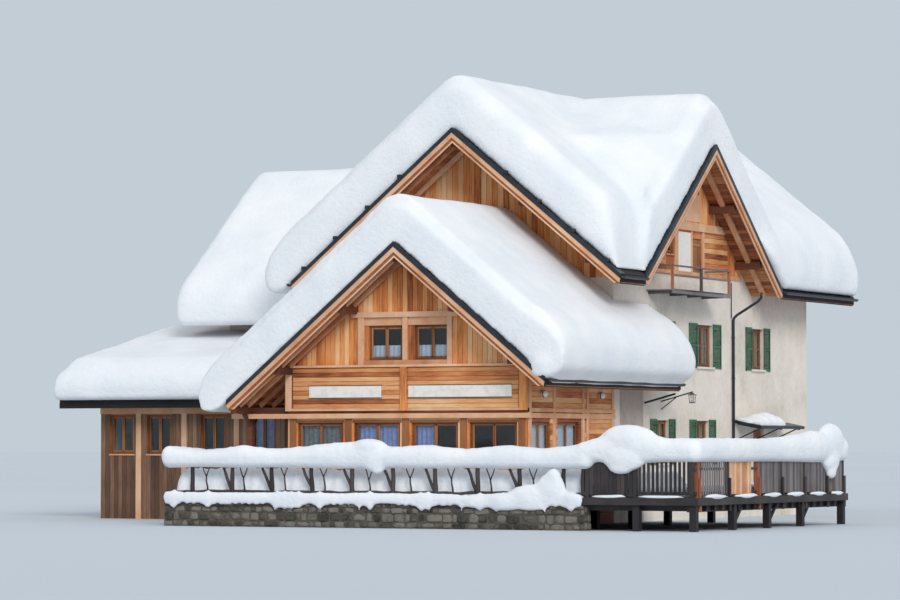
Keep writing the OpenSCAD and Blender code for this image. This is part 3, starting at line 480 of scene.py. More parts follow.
# %% The node tree for a row
def row_tree():
    """A row of blocks from a start, by a step, trimmed under a roof line."""
    made = bpy.data.node_groups.new("row_of_blocks", "GeometryNodeTree")
    ask = made.interface
    for name, kind in (("Count", "Int"), ("Start", "Vector"), ("Step", "Vector"),
            ("Size", "Vector"), ("Turn", "Vector"), ("Uneven", "Vector"), ("Seed", "Int"),
            ("Across", "Vector"), ("Middle", "Float"), ("Peak", "Float"), ("Fall", "Float")):
        ask.new_socket(name, in_out="INPUT", socket_type="NodeSocket" + kind)
    ask.new_socket("Geometry", in_out="OUTPUT", socket_type="NodeSocketGeometry")
    given = add(made, "NodeGroupInput").outputs
    line = add(made, "GeometryNodeMeshLine", {"Count": given["Count"],
        "Start Location": given["Start"], "Offset": given["Step"]}, mode="OFFSET")
    block = add(made, "GeometryNodeMeshCube", {"Size": given["Size"]})
    turned = add(made, "FunctionNodeEulerToRotation", {0: given["Turn"]})
    low = add(made, "ShaderNodeVectorMath", {0: (1.0, 1.0, 1.0), 1: given["Uneven"]},
        operation="SUBTRACT")
    high = add(made, "ShaderNodeVectorMath", {0: (1.0, 1.0, 1.0), 1: given["Uneven"]},
        operation="ADD")
    varied = add(made, "FunctionNodeRandomValue", {0: low.outputs[0], 1: high.outputs[0],
        "Seed": given["Seed"]}, data_type="FLOAT_VECTOR")
    laid = add(made, "GeometryNodeInstanceOnPoints", {"Points": line.outputs[0],
        "Instance": block.outputs[0], "Rotation": turned.outputs[0], "Scale": varied.outputs[0]})
    dice = add(made, "FunctionNodeRandomValue", {"Seed": given["Seed"]}, data_type="FLOAT")
    marked = add(made, "GeometryNodeStoreNamedAttribute", {"Geometry": laid.outputs[0],
        "Name": "tint", "Value": dice.outputs[1]}, data_type="FLOAT", domain="INSTANCE")
    solid = add(made, "GeometryNodeRealizeInstances", {0: marked.outputs[0]})
    spot = add(made, "GeometryNodeInputPosition").outputs[0]
    axes = add(made, "ShaderNodeSeparateXYZ", {0: spot})
    along = add(made, "ShaderNodeVectorMath", {0: spot, 1: given["Across"]},
        operation="DOT_PRODUCT")
    off = add(made, "ShaderNodeMath", {0: along.outputs["Value"], 1: given["Middle"]},
        operation="SUBTRACT")
    off = add(made, "ShaderNodeMath", {0: off.outputs[0]}, operation="ABSOLUTE")
    drop = add(made, "ShaderNodeMath", {0: off.outputs[0], 1: given["Fall"]}, operation="MULTIPLY")
    roof = add(made, "ShaderNodeMath", {0: given["Peak"], 1: drop.outputs[0]}, operation="SUBTRACT")
    trim = add(made, "ShaderNodeMath", {0: axes.outputs["Z"], 1: roof.outputs[0]},
        operation="MINIMUM")
    kept = add(made, "ShaderNodeCombineXYZ", {0: axes.outputs[0], 1: axes.outputs[1],
        2: trim.outputs[0]})
    cut = add(made, "GeometryNodeSetPosition", {"Geometry": solid.outputs[0],
        "Position": kept.outputs[0]})
    add(made, "NodeGroupOutput", {0: cut.outputs[0]})
    return made


ROW = row_tree()
print("row tree has", len(ROW.nodes), "nodes")


# %% Run a node tree
def grown(tree, **values):
    """Runs a node tree with named inputs, and returns the plain mesh that it makes."""
    holder = bpy.data.objects.new("holder", bpy.data.meshes.new("holder"))
    bpy.context.scene.collection.objects.link(holder)
    run = holder.modifiers.new("tree", "NODES")
    run.node_group = tree
    for item in tree.interface.items_tree:
        if item.in_out == "INPUT" and item.name in values:
            run[item.identifier] = values[item.name]
    bpy.context.view_layer.update()
    seen = holder.evaluated_get(bpy.context.evaluated_depsgraph_get())
    mesh = bpy.data.meshes.new_from_object(seen)
    bpy.data.objects.remove(holder)
    return mesh


# %% [markdown]
# Boards, bars and stones of one finish are gathered in one mesh, because a scene with
# hundreds of objects is slow and hard to read. The gathered mesh keeps each block's tint.

# %% Gather small solids into one piece
OPEN_SKY = (0.0, 1000.0, 0.0)
CORNERS, SIDES = 8, 6


class Stack:
    """Small solids of one finish that end up as one piece."""

    def __init__(self):
        """Starts without a solid."""
        self.points, self.faces, self.tints = [], [], []

    def put(self, points, faces, tint):
        """Adds solids, with one tint for all their points or a list with one for each."""
        base = len(self.points)
        self.points += [tuple(p) for p in points]
        self.faces += [tuple(base + i for i in face) for face in faces]
        self.tints += tint if isinstance(tint, list) else [tint] * len(points)

    def blocks(self, mesh):
        """Adds the blocks that a node tree made, with their tints, but none trimmed to nothing."""
        tints = [t.value for t in mesh.attributes["tint"].data]
        for k in range(len(tints) // CORNERS):
            first, after = k * CORNERS, (k + 1) * CORNERS
            corners = [vertex.co for vertex in mesh.vertices[first:after]]
            distinct = {tuple(round(v, 4) for v in corner) for corner in corners}
            if len(distinct) > CORNERS / 2:
                sides = mesh.polygons[k * SIDES:(k + 1) * SIDES]
                self.put(corners, [tuple(i - first for i in side.vertices) for side in sides],
                    tints[first:after])

    def row(self, count, start, step, size, turn=(0, 0, 0), uneven=(0, 0, 0), roof=OPEN_SKY,
            across=(1, 0, 0)):
        """A row of blocks. A roof line is its middle, its peak and its fall."""
        middle, peak, fall = roof
        self.blocks(grown(ROW, Count=count, Start=start, Step=step, Size=size, Turn=turn,
            Uneven=uneven, Seed=random.randrange(9999), Across=across, Middle=middle, Peak=peak,
            Fall=fall))

    def bar(self, a, b, width, depth, side=(0, 0, 1), tint=None):
        """A straight bar from one point to another. Its depth lies along side."""
        a, b = Vector(a), Vector(b)
        run = (b - a).normalized()
        over = (Vector(side) - run * run.dot(Vector(side))).normalized()
        wide = over.cross(run) * width / 2
        deep = over * depth / 2
        chamfer = 1 - min(0.3, 0.012 / min(width, depth))
        ring = [(1, chamfer), (chamfer, 1), (-chamfer, 1), (-1, chamfer), (-1, -chamfer),
            (-chamfer, -1), (chamfer, -1), (1, -chamfer)]
        points = [end + wide * u + deep * v for end in (a, b) for u, v in ring]
        faces = [(i, (i + 1) % 8, 8 + (i + 1) % 8, 8 + i) for i in range(8)]
        faces += [tuple(range(7, -1, -1)), tuple(range(8, 16))]
        self.put(points, faces, random.random() if tint is None else tint)

    def box(self, x0, x1, y0, y1, z0, z1, tint=None):
        """An upright box with slightly broken edges, from its two corners."""
        self.bar(((x0 + x1) / 2, (y0 + y1) / 2, z0), ((x0 + x1) / 2, (y0 + y1) / 2, z1),
            abs(x1 - x0), abs(y1 - y0), side=(0, 1, 0), tint=tint)

    def piece(self, name, material, slot, *nodes, smooth=False):
        """Makes the gathered solids one piece of the building, in place of the given nodes."""
        mesh = bpy.data.meshes.new(name)
        mesh.from_pydata(self.points, [], self.faces)
        tint = mesh.attributes.new("tint", "FLOAT", "POINT")
        tint.data.foreach_set("value", self.tints)
        mesh.polygons.foreach_set("use_smooth", [smooth] * len(mesh.polygons))
        return settle(name, mesh, material, slot, *nodes)


def settle(name, mesh, material, slot, *nodes):
    """Shifts a finished mesh into the frame and makes it ride on the building."""
    mesh.transform(Matrix.Translation(ORIGIN))
    mesh.materials.clear()
    mesh.materials.append(material)
    mesh.update()
    made = bpy.data.objects.new(name, mesh)
    bpy.context.scene.collection.objects.link(made)
    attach(made, "root")
    if nodes:
        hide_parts(*nodes)
    print(name, len(mesh.polygons), "faces")
    return made


# %% [markdown]
# ## Walls of boards
# A wall faces one of four ways. These helpers place a point on a wall by how far along it,
# how high and how far out of it, so the same lines of code board the front and the sides.

# %% Fields of boards on a wall
FRONT, BACK = Vector((0, -1, 0)), Vector((0, 1, 0))
RIGHT, LEFT = Vector((1, 0, 0)), Vector((-1, 0, 0))
BOARD_W = 0.17
BOARD_T = 0.028
GAP = 0.012


def spot(facing, at, along, z, out=0.0):
    """A point on a wall: how far along it, how high, and how far out of it."""
    if facing.x:
        return Vector((at + facing.x * out, along, z))
    return Vector((along, at + facing.y * out, z))


def block(stack, facing, at, a, b, z0, z1, out, sunk=0.0, tint=None):
    """A block on a wall, from a to b along it, standing out of it and sunk into it."""
    low = spot(facing, at, a, z0, -sunk)
    high = spot(facing, at, b, z1, out)
    stack.box(min(low.x, high.x), max(low.x, high.x), min(low.y, high.y), max(low.y, high.y),
        z0, z1, tint)


def directions(facing):
    """The direction along a wall and the one square to it."""
    return Vector((abs(facing.y), abs(facing.x), 0)), Vector((abs(facing.x), abs(facing.y), 0))


def field(stack, facing, at, a, b, z0, z1, upright=True, board=BOARD_W, roof=OPEN_SKY,
        thick=BOARD_T, out=0.0):
    """A field of boards on a wall, upright ones trimmed under a roof line."""
    along, over = directions(facing)
    span = b - a if upright else z1 - z0
    count = max(1, round(span / board))
    pitch = span / count
    first = (a + pitch / 2, (z0 + z1) / 2) if upright else ((a + b) / 2, z0 + pitch / 2)
    step = along * pitch if upright else Vector((0, 0, pitch))
    size = Vector((0, 0, z1 - z0)) + along * (pitch - GAP) if upright else (
        along * (b - a) + Vector((0, 0, pitch - GAP)))
    stack.row(count, spot(facing, at, first[0], first[1], out + thick / 2), step,
        size + over * thick, uneven=over * 0.3, roof=roof, across=along)


# %% [markdown]
# The front wing's gable is boarded upright. A pair of windows sits between thick posts, under
# a head beam that runs past them.

# %% Front gable
FW_ROOF = (0.0, FW_RIDGE_Z - ROOF_TV, SLOPE)
BAND_LOW, BAND_TOP = measure("parapet")[0].z, measure("parapet")[1].z
GABLE_POSTS = [(-1.8, -1.59), (-0.24, -0.07), (1.3, 1.47)]
HEAD_Z = (6.36, 6.52)
warm = Stack()
field(warm, FRONT, FW_FRONT, FW_LEFT, GABLE_POSTS[0][0], BAND_TOP, FW_RIDGE_Z, roof=FW_ROOF)
field(warm, FRONT, FW_FRONT, GABLE_POSTS[2][1], MAIN_RIGHT, BAND_TOP, FW_RIDGE_Z, roof=FW_ROOF)
field(warm, FRONT, FW_FRONT, GABLE_POSTS[0][0], GABLE_POSTS[2][1], HEAD_Z[1], FW_RIDGE_Z,
    roof=FW_ROOF, out=0.02)
pale = Stack()
for a, b in GABLE_POSTS:
    block(pale, FRONT, FW_FRONT, a, b, BAND_TOP, HEAD_Z[0], 0.09, tint=0.75)
block(pale, FRONT, FW_FRONT, -2.02, 1.68, *HEAD_Z, 0.12, tint=0.85)
for (_, a), (b, _) in zip(GABLE_POSTS[:-1], GABLE_POSTS[1:]):
    block(pale, FRONT, FW_FRONT, a, b, 6.11, HEAD_Z[0], 0.03, tint=0.6)
block(pale, FRONT, FW_FRONT, -1.59, 1.3, BAND_TOP + 0.07, 5.04, 0.1, tint=0.3)
print("front gable", len(warm.faces), "faces of boards,", len(pale.faces), "of posts and beams")

# %% [markdown]
# Below it runs a closed parapet of level boards between a pale end post and a dark middle
# post, with two white boards on it. The boards are left bare.

# %% Parapet band, beam and bare boards
BAND_FRONT = FW_FRONT - 0.12
MIDDLE_POST = (-0.27, -0.03)
BEAM_Z = (3.26, 3.41)
flat = Stack()
for a, b in ((FW_LEFT + 0.2, MIDDLE_POST[0]), (MIDDLE_POST[1], MAIN_RIGHT - 0.2)):
    field(flat, FRONT, BAND_FRONT, a, b, BAND_LOW + 0.08, BAND_TOP - 0.02, upright=False,
        board=0.135)
    block(pale, FRONT, BAND_FRONT, a, b, BAND_LOW, BAND_LOW + 0.08, 0.05, tint=0.7)
block(pale, FRONT, BAND_FRONT, FW_LEFT - 0.02, FW_LEFT + 0.2, BAND_LOW, BAND_TOP, 0.07, 0.1, 0.95)
block(pale, FRONT, BAND_FRONT, FW_LEFT - 0.05, MAIN_RIGHT, BAND_TOP, BAND_TOP + 0.07, 0.08, 0.1,
    0.9)
block(pale, FRONT, FW_FRONT, -6.28, MAIN_RIGHT + 0.12, *BEAM_Z, 0.16, tint=0.8)
block(warm, FRONT, BAND_FRONT, *MIDDLE_POST, BAND_LOW, BAND_TOP, 0.08, tint=0.15)
block(warm, FRONT, BAND_FRONT, MAIN_RIGHT - 0.2, MAIN_RIGHT + 0.02, BAND_LOW, BAND_TOP, 0.07, 0.1,
    0.5)
signs = Stack()
dark_edge = Stack()
for a, b in ((-3.47, -0.93), (0.02, 3.54)):
    block(signs, FRONT, BAND_FRONT - BOARD_T, a, b, 3.89, 4.27, 0.03, tint=0.6)
    for z in (3.88, 4.26):
        block(dark_edge, FRONT, BAND_FRONT - BOARD_T, a - 0.02, b + 0.02, z, z + 0.02, 0.04,
            tint=0.4)
signs.piece("bare_white_boards", white_paint, "white_board", "sign_boards")
dark_edge.piece("board_rims", wet_timber, "weathered_timber")

# %% [markdown]
# The right side of the front wing is a frame of pale posts and rails, filled with level
# boards. Two windows have white blinds; the bay next to the stone block is boarded in full.

# %% Front wing, right and left sides and the ground floor of the front
RAIL_Z = (3.44, 3.56)
SILL_RAIL = (1.6, 1.74)
SIDE_POSTS = [1.1, 2.75, 4.8, 5.12, 6.98]
POST_W = 0.16
SIDE_TOP = FW_RIDGE_Z - SLOPE * MAIN_RIGHT - ROOF_TV
for y in SIDE_POSTS:
    block(pale, RIGHT, MAIN_RIGHT, y, y + POST_W, FLOOR, SIDE_TOP, 0.06, tint=0.75)
for z0, z1 in (RAIL_Z, SILL_RAIL, (4.42, 4.54), BEAM_Z):
    block(pale, RIGHT, MAIN_RIGHT, FW_FRONT, MAIN_FRONT, z0, z1, 0.07, tint=0.6)
for a, b in zip(SIDE_POSTS[:-1], SIDE_POSTS[1:]):
    if b - a < 0.5:
        field(flat, RIGHT, MAIN_RIGHT, a + POST_W, b, FLOOR, SIDE_TOP - 0.02, upright=False)
        continue
    field(flat, RIGHT, MAIN_RIGHT, a + POST_W, b, RAIL_Z[1], SIDE_TOP - 0.02, upright=False)
    low_top = SILL_RAIL[0] if a < 4.9 else RAIL_Z[0]
    field(flat, RIGHT, MAIN_RIGHT, a + POST_W, b, FLOOR, low_top, upright=False)
for a, b in ((2.6, 2.75), (2.91, 3.075)):
    field(flat, RIGHT, MAIN_RIGHT, a, b, SILL_RAIL[1], BEAM_Z[0], upright=False)
LEFT_TOP = FW_RIDGE_Z - SLOPE * abs(FW_LEFT) - ROOF_TV
PASSAGE_DOOR = (4.1, 5.1)
DOOR_TOP = 3.0
field(warm, LEFT, FW_LEFT, FW_FRONT, PASSAGE_DOOR[0], FLOOR, LEFT_TOP)
field(warm, LEFT, FW_LEFT, PASSAGE_DOOR[1], MAIN_FRONT, FLOOR, LEFT_TOP)
field(warm, LEFT, FW_LEFT, *PASSAGE_DOOR, DOOR_TOP, LEFT_TOP)
ROW_EDGES = [FW_LEFT, -3.95, -2.35, -1.95, -0.35, 0.05, 1.65, 2.05, 3.65, MAIN_RIGHT]
for a, b in zip(ROW_EDGES[::2], ROW_EDGES[1::2]):
    field(warm, FRONT, FW_FRONT, a, b, FLOOR, BEAM_Z[0], board=0.14)
for a, b in zip(ROW_EDGES[1::2], ROW_EDGES[2::2]):
    field(flat, FRONT, FW_FRONT, a, b, FLOOR, 1.75, upright=False)
field(flat, FRONT, FW_FRONT, FW_LEFT, MAIN_RIGHT, 3.15, BEAM_Z[0], upright=False)
field(flat, FRONT, FW_FRONT, FW_LEFT, MAIN_RIGHT, BEAM_Z[1], BAND_LOW, upright=False, thick=0.02)
print("front wing", len(warm.faces) + len(flat.faces), "faces of boards so far")

# %% [markdown]
# The big gables above the stone are boarded upright as well, with a thick middle post on the
# front one. The cross gable has pale panels low down and level boards beside them.

# %% Main gables, cross gable and lean-to
MAIN_LINE = (MAIN_RIDGE_X, MAIN_RIDGE_Z - ROOF_TV, SLOPE)
CROSS_LINE = (CROSS_Y, CROSS_RIDGE_Z - ROOF_TV, SLOPE)
KING = (MAIN_RIDGE_X - 0.11, MAIN_RIDGE_X + 0.11)
for facing, at in ((FRONT, MAIN_FRONT), (BACK, MAIN_BACK)):
    for a, b in ((MAIN_LEFT, KING[0]), (KING[1], MAIN_RIGHT)):
        field(warm, facing, at, a, b, STONE_TOP, MAIN_RIDGE_Z, roof=MAIN_LINE, board=0.2)
block(warm, FRONT, MAIN_FRONT, *KING, 9.0, 12.1, 0.08, tint=0.1)
GABLE_SILL = measure("cross_gable_wall")[0].z
GABLE_A, GABLE_B = measure("cross_gable_wall")[0].y, measure("cross_gable_wall")[1].y
SILL_TOP = GABLE_SILL + 0.12
PLAIN_A, PLAIN_B = GABLE_A + 1.0, 16.3
CROSS_BEAM_Z = (9.54, 9.8)
field(flat, RIGHT, MAIN_RIGHT, 14.27, PLAIN_B, SILL_TOP, CROSS_BEAM_Z[0], upright=False)
field(flat, RIGHT, MAIN_RIGHT, PLAIN_A, 11.2, SILL_TOP, 9.35, upright=False)
for a, b, z in ((GABLE_A, PLAIN_A, SILL_TOP), (PLAIN_B, GABLE_B, SILL_TOP),
        (PLAIN_A, PLAIN_B, CROSS_BEAM_Z[1])):
    field(warm, RIGHT, MAIN_RIGHT, a, b, z, CROSS_RIDGE_Z, roof=CROSS_LINE)
block(pale, RIGHT, MAIN_RIGHT, GABLE_A, GABLE_B, GABLE_SILL, SILL_TOP, 0.06, tint=0.6)
block(pale, RIGHT, MAIN_RIGHT, 11.0, 16.2, *CROSS_BEAM_Z, 0.1, tint=0.8)
for a, b in ((11.86, 12.13), (13.2, 13.3), (14.14, 14.27)):
    block(pale, RIGHT, MAIN_RIGHT, a, b, SILL_TOP, CROSS_BEAM_Z[0], 0.07, tint=0.7)
panel = Stack()
block(panel, RIGHT, MAIN_RIGHT, 12.13, 13.2, SILL_TOP, 9.47, 0.04, tint=0.8)
panel.piece("white_gable_panel", white_paint, "white_board")
block(pale, RIGHT, MAIN_RIGHT, 12.68, 14.1, 9.85, 10.75, 0.045, tint=0.95)
ANNEX_FRONT, ANNEX_LEFT, ANNEX_RIGHT = 5.3, -14.0, -6.0
ANNEX_BEAM = 3.48
ANNEX_WINDOWS = (-13.15, -11.7, -9.6, -7.7)
ANNEX_GAPS = [ANNEX_LEFT] + [x + s * 0.475 for x in ANNEX_WINDOWS for s in (-1, 1)]
ANNEX_GAPS += [ANNEX_RIGHT]
annex = Stack()
for a, b in zip(ANNEX_GAPS[::2], ANNEX_GAPS[1::2]):
    field(annex, FRONT, ANNEX_FRONT, a, b, 0.0, 3.5)
for a, b in zip(ANNEX_GAPS[1::2], ANNEX_GAPS[2::2]):
    field(annex, FRONT, ANNEX_FRONT, a, b, 0.0, 2.15)
block(pale, FRONT, ANNEX_FRONT, ANNEX_LEFT, ANNEX_RIGHT, ANNEX_BEAM, 3.72, 0.07, tint=0.65)
for x in (-12.5, -10.72, -8.7):
    block(pale, FRONT, ANNEX_FRONT, x - 0.1, x + 0.1, 0.0, ANNEX_BEAM, 0.06, tint=0.85)
annex.piece("lean_to_boards", lean_to_upright_painted_shade, "warm_timber")

# %% [markdown]
# ## Windows
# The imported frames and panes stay. Each window gets a sash inside its frame, bars across it
# and, where the photograph shows one, a curtain or a blind. A curtain is a real hung cloth:
# a wavy sheet 2 mm thick with its true flat size.

# %% Lists of windows
WIN_H = 1.4
SILLS = (1.85, 5.05)
STONE_REVEAL, TIMBER_REVEAL = 0.12, 0.06
FRAME_T = 0.08
RIGHT_SET = [(10.97, 0.95, 5.05), (14.43, 1.3, 5.05), (18.98, 1.05, 5.05), (10.97, 0.95, 1.85),
    (14.2, 1.05, 1.85)]
BACK_SET = [(x, 1.0, z) for x in (-3.4, 1.8) for z in SILLS]
DINING_WINDOWS = (-3.15, -1.15, 0.85, 2.85)
GABLE_WINDOWS = (-0.85, 0.75)
WINDOWS = [(RIGHT, MAIN_RIGHT, y, w, z, WIN_H, STONE_REVEAL) for y, w, z in RIGHT_SET]
WINDOWS += [(LEFT, MAIN_LEFT, 19.5, 1.0, z, WIN_H, STONE_REVEAL) for z in SILLS]
WINDOWS += [(BACK, MAIN_BACK, x, w, z, WIN_H, STONE_REVEAL) for x, w, z in BACK_SET]
WINDOWS += [(BACK, 16.2, -8.6, 1.0, z, WIN_H, STONE_REVEAL) for z in SILLS]
WINDOWS += [(LEFT, WING_LEFT, CROSS_Y, 0.9, 7.3, 1.1, STONE_REVEAL)]
WINDOWS += [(BACK, MAIN_BACK, MAIN_RIDGE_X, 1.2, 8.6, 1.2, TIMBER_REVEAL)]
WINDOWS += [(FRONT, ANNEX_FRONT, x, 0.95, 2.15, 1.3, TIMBER_REVEAL) for x in ANNEX_WINDOWS]
WINDOWS += [(FRONT, FW_FRONT, x, 1.6, 1.75, WIN_H, TIMBER_REVEAL) for x in DINING_WINDOWS]
WINDOWS += [(FRONT, FW_FRONT, x, 1.2, 5.04, 1.07, TIMBER_REVEAL) for x in GABLE_WINDOWS]
WINDOWS += [(RIGHT, MAIN_RIGHT, 1.95, 1.3, 1.75, WIN_H, TIMBER_REVEAL),
    (RIGHT, MAIN_RIGHT, 3.85, 1.55, 1.75, WIN_H, TIMBER_REVEAL),
    (RIGHT, MAIN_RIGHT, 11.55, 0.62, 8.7, 0.62, TIMBER_REVEAL)]
SHUTTERED = WINDOWS[:13]
print("windows", len(WINDOWS), "with shutters", len(SHUTTERED))

# %% Sashes, bars and sills
SASH = 0.045
INSIDE_FRAME = 0.07
BAR_HALF = 0.014
honey = Stack()
sills = Stack()
for facing, at, mid, width, sill, height, reveal in WINDOWS:
    half = width / 2 - INSIDE_FRAME
    low, high = sill + INSIDE_FRAME, sill + height - INSIDE_FRAME
    outer = -reveal + 0.006
    back = -outer + SASH

    def bar(a, b, z0, z1):
        """One bar of this window's sash, between two places and two heights."""
        block(honey, facing, at, mid + a, mid + b, z0, z1, outer, sunk=back)

    for s in (-1, 1):
        bar(*sorted((s * half, s * (half - SASH))), low, high)
        if width > 0.8:
            bar(*sorted((s * 0.006, s * (0.006 + SASH))), low, high)
    bar(-half, half, low, low + SASH)
    bar(-half, half, high - SASH, high)
    if height > 1.2 and reveal == STONE_REVEAL:
        bar(-half, half, (low + high) / 2 - BAR_HALF, (low + high) / 2 + BAR_HALF)
    if reveal == STONE_REVEAL:
        block(sills, facing, at, mid - width / 2 - 0.08, mid + width / 2 + 0.08, sill - 0.07,
            sill, 0.07, sunk=0.1)
    else:
        block(pale, facing, at, mid - width / 2 - 0.03, mid + width / 2 + 0.03, sill - 0.05, sill,
            0.06, tint=0.5)
honey.piece("window_sashes", honey_timber, "window_timber")
sills.piece("plastered_sills", lime_plaster, "plaster")

# %% [markdown]
# The posts between the wide panes of the dining room are the same dark brown as the sashes.

# %% Posts of the dining room windows
row_posts = Stack()
for x in (-4.12, -2.15, -0.15, 1.85, 3.82):
    block(row_posts, FRONT, FW_FRONT, x - 0.11, x + 0.11, 1.6, BEAM_Z[0], 0.07, tint=0.55)
for x in DINING_WINDOWS:
    block(row_posts, FRONT, FW_FRONT, x - 0.85, x + 0.85, 3.13, 3.2, 0.05, tint=0.4)
row_posts.piece("dining_window_posts", honey_timber, "window_timber")

# %% A hung cloth
CLOTH = 0.002
PLEAT = 0.16


def hang(name, facing, at, a, b, z0, z1, material, depth, inside):
    """A hung cloth with even pleats: a closed sheet that is wider flat than it hangs."""
    steps = max(8, round((b - a) / PLEAT * 10))
    front, rear, length = [], [], 0.0
    for i in range(steps + 1):
        along = a + (b - a) * i / steps
        swing = depth * math.sin(2 * math.pi * (along - a) / PLEAT)
        for rows, off in ((front, 0.0), (rear, CLOTH)):
            rows.append([spot(facing, at, along, z, -inside - swing - off) for z in (z0, z1)])
        if i:
            length += (front[-1][0] - front[-2][0]).length
    points = [p for pair in front + rear for p in pair]
    n = 2 * (steps + 1)
    faces = []
    for i in range(steps):
        k = 2 * i
        faces += [(k, k + 2, k + 3, k + 1), (n + k, n + k + 1, n + k + 3, n + k + 2)]
        faces += [(k, n + k, n + k + 2, k + 2), (k + 1, k + 3, n + k + 3, n + k + 1)]
    faces += [(0, 1, n + 1, n), (n - 2, 2 * n - 2, 2 * n - 1, n - 1)]
    mesh = bpy.data.meshes.new(name)
    mesh.from_pydata(points, [], faces)
    made = settle(name, mesh, material, None)
    print(name, "flat", round(length, 2), "by", round(z1 - z0, 2), "m")


# %% Curtains and blinds
BEHIND = TIMBER_REVEAL + FRAME_T + 0.03
BEHIND_STONE = 0.24
DINING_Z = (1.8, 3.1)
UPPER_Z = (5.1, 6.4)
FOLD = 0.02
FLAT = 0.001
for k, x in enumerate(GABLE_WINDOWS):
    hang(f"low_curtain_{k + 1}", FRONT, FW_FRONT, x - 0.53, x + 0.53, 5.08, 5.5, white_linen, 0.012,
        BEHIND)
for name, a, b, linen in (("grey_curtain", -3.9, -2.42, grey_linen),
        ("lilac_curtain_1", -1.92, -0.38, blue_linen), ("lilac_curtain_2", 0.08, 0.84, blue_linen)):
    hang(name, FRONT, FW_FRONT, a, b, *DINING_Z, linen, FOLD, BEHIND)
for name, a, b in (("white_blind_1", 1.34, 2.56), ("white_blind_2", 3.12, 4.58)):
    hang(name, RIGHT, MAIN_RIGHT, a, b, *DINING_Z, white_linen, FLAT, BEHIND)
for name, a, b, linen in (("rose_curtain_1", 13.87, 14.4, rose_linen),
        ("rose_curtain_2", 14.46, 14.99, rose_linen), ("grey_curtain_upper", 18.55, 19.41, grey_linen)):
    hang(name, RIGHT, MAIN_RIGHT, a, b, *UPPER_Z, linen, FOLD, BEHIND_STONE)
hang("lean_to_curtain", FRONT, ANNEX_FRONT, -8.1, -7.3, 2.2, 3.4, blue_linen, 0.015, BEHIND)

# %% [markdown]
# A shutter leaf is two stiles, three rails and two fields of slanting louvres. Fourteen to
# eighteen louvres fit a field, so each is 4 cm deep and 6 mm thick, as on a real leaf.

# %% Louvred shutters
STILE, LEAF_T = 0.07, 0.034
LEAF_RAIL = 0.08
OVERLAP = 0.04
LOUVRE_PITCH = 0.042
LOUVRE_DEPTH, LOUVRE_T = 0.036, 0.006
LOUVRE_TIP = math.radians(38)
STRAP = 0.26
green = Stack()
straps = Stack()
for facing, at, mid, width, sill, height, _ in SHUTTERED:
    leaf = width / 2 + OVERLAP
    low, high = sill - OVERLAP, sill + height + OVERLAP
    along, over = directions(facing)
    tilt = (0, LOUVRE_TIP * facing.x, 0) if facing.x else (-LOUVRE_TIP * facing.y, 0, 0)
    for s in (-1, 1):
        a, b = sorted((mid + s * width / 2, mid + s * (width / 2 + leaf)))
        for edge in (a, b - STILE):
            block(green, facing, at, edge, edge + STILE, low, high, LEAF_T)
        cuts = [low, (low + high - LEAF_RAIL) / 2, high - LEAF_RAIL]
        for z in cuts:
            block(green, facing, at, a, b, z, z + LEAF_RAIL, LEAF_T)
        louvre = along * (b - a - 2 * STILE) + over * LOUVRE_DEPTH + Vector((0, 0, LOUVRE_T))
        for z0, z1 in zip(cuts[:-1], cuts[1:]):
            tall = z1 - z0 - LEAF_RAIL
            count = round(tall / LOUVRE_PITCH)
            start = spot(facing, at, (a + b) / 2, z0 + LEAF_RAIL + tall / count / 2, LEAF_T / 2)
            green.row(count, start, (0, 0, tall / count), louvre, turn=tilt)
        hinge = mid + s * width / 2
        for z in (low + 0.2, high - 0.2):
            straps.bar(spot(facing, at, hinge, z, 0.036),
                spot(facing, at, hinge + s * (STRAP + 0.01), z, 0.036), 0.03, 0.006, side=facing)
        catch = mid + s * (width / 2 + leaf - 0.05)
        straps.bar(spot(facing, at, catch, low - 0.03, 0.02),
            spot(facing, at, catch, low + 0.05, 0.03), 0.02, 0.02, side=facing)
green.piece("louvred_shutters", green_paint, "green_paint", "shutters")
straps.piece("shutter_iron", dark_sheet, "dark_metal")

# %% [markdown]
# ## Roof edges
# Each gable ends in a dark flashing over the roof's edge, a wide pale barge board, a dark band
# painted as its shadow and a narrow board under it. Between the walls and the edges,
# orange-brown boards close the underside, and light rafters run down it beside the red-brown purlins.

# %% Helpers for gabled roofs
FRONT_ROOF = (False, 0.0, FW_RIDGE_Z, FW_REACH_L, FW_REACH_R)
MAIN_ROOF = (False, MAIN_RIDGE_X, MAIN_RIDGE_Z, MAIN_HALF, MAIN_HALF)
CROSS_ROOF = (True, CROSS_Y, CROSS_RIDGE_Z, CROSS_HALF, CROSS_HALF)
WING_ROOF = (True, CROSS_Y, WING_RIDGE_Z, WING_HALF + WING_EAVE, WING_HALF + WING_EAVE)


def on_roof(roof, at, offset, down):
    """A point under a roof's top: an offset from its ridge, and a depth square to the slope."""
    runs_along_x, middle, ridge_z, _, _ = roof
    z = ridge_z - SLOPE * abs(offset) - down / math.cos(PITCH)
    return Vector((at, middle + offset, z)) if runs_along_x else Vector((middle + offset, at, z))


def reach_of(roof, side):
    """How far one slope of a roof reaches from its ridge, measured level."""
    return roof[3] if side < 0 else roof[4]


def rake(stack, roof, at, thick, top, depth, side, tint):
    """A board along one slope of a gable, from a depth to a lower one, cut level at its foot."""
    foot = {down: reach_of(roof, side) - max(0.0, down / math.cos(PITCH) - ROOF_TV - 0.02) / SLOPE
        for down in (top, top + depth)}
    points = [on_roof(roof, at + thick * end, side * foot[down] * along, down)
        for end in (-0.5, 0.5) for along in (0, 1) for down in (top, top + depth)]
    faces = [(0, 1, 3, 2), (4, 6, 7, 5), (0, 4, 5, 1), (2, 3, 7, 6), (0, 2, 6, 4), (1, 5, 7, 3)]
    if (side > 0) == roof[0]:
        faces = [face[::-1] for face in faces]
    stack.put(points, faces, tint)


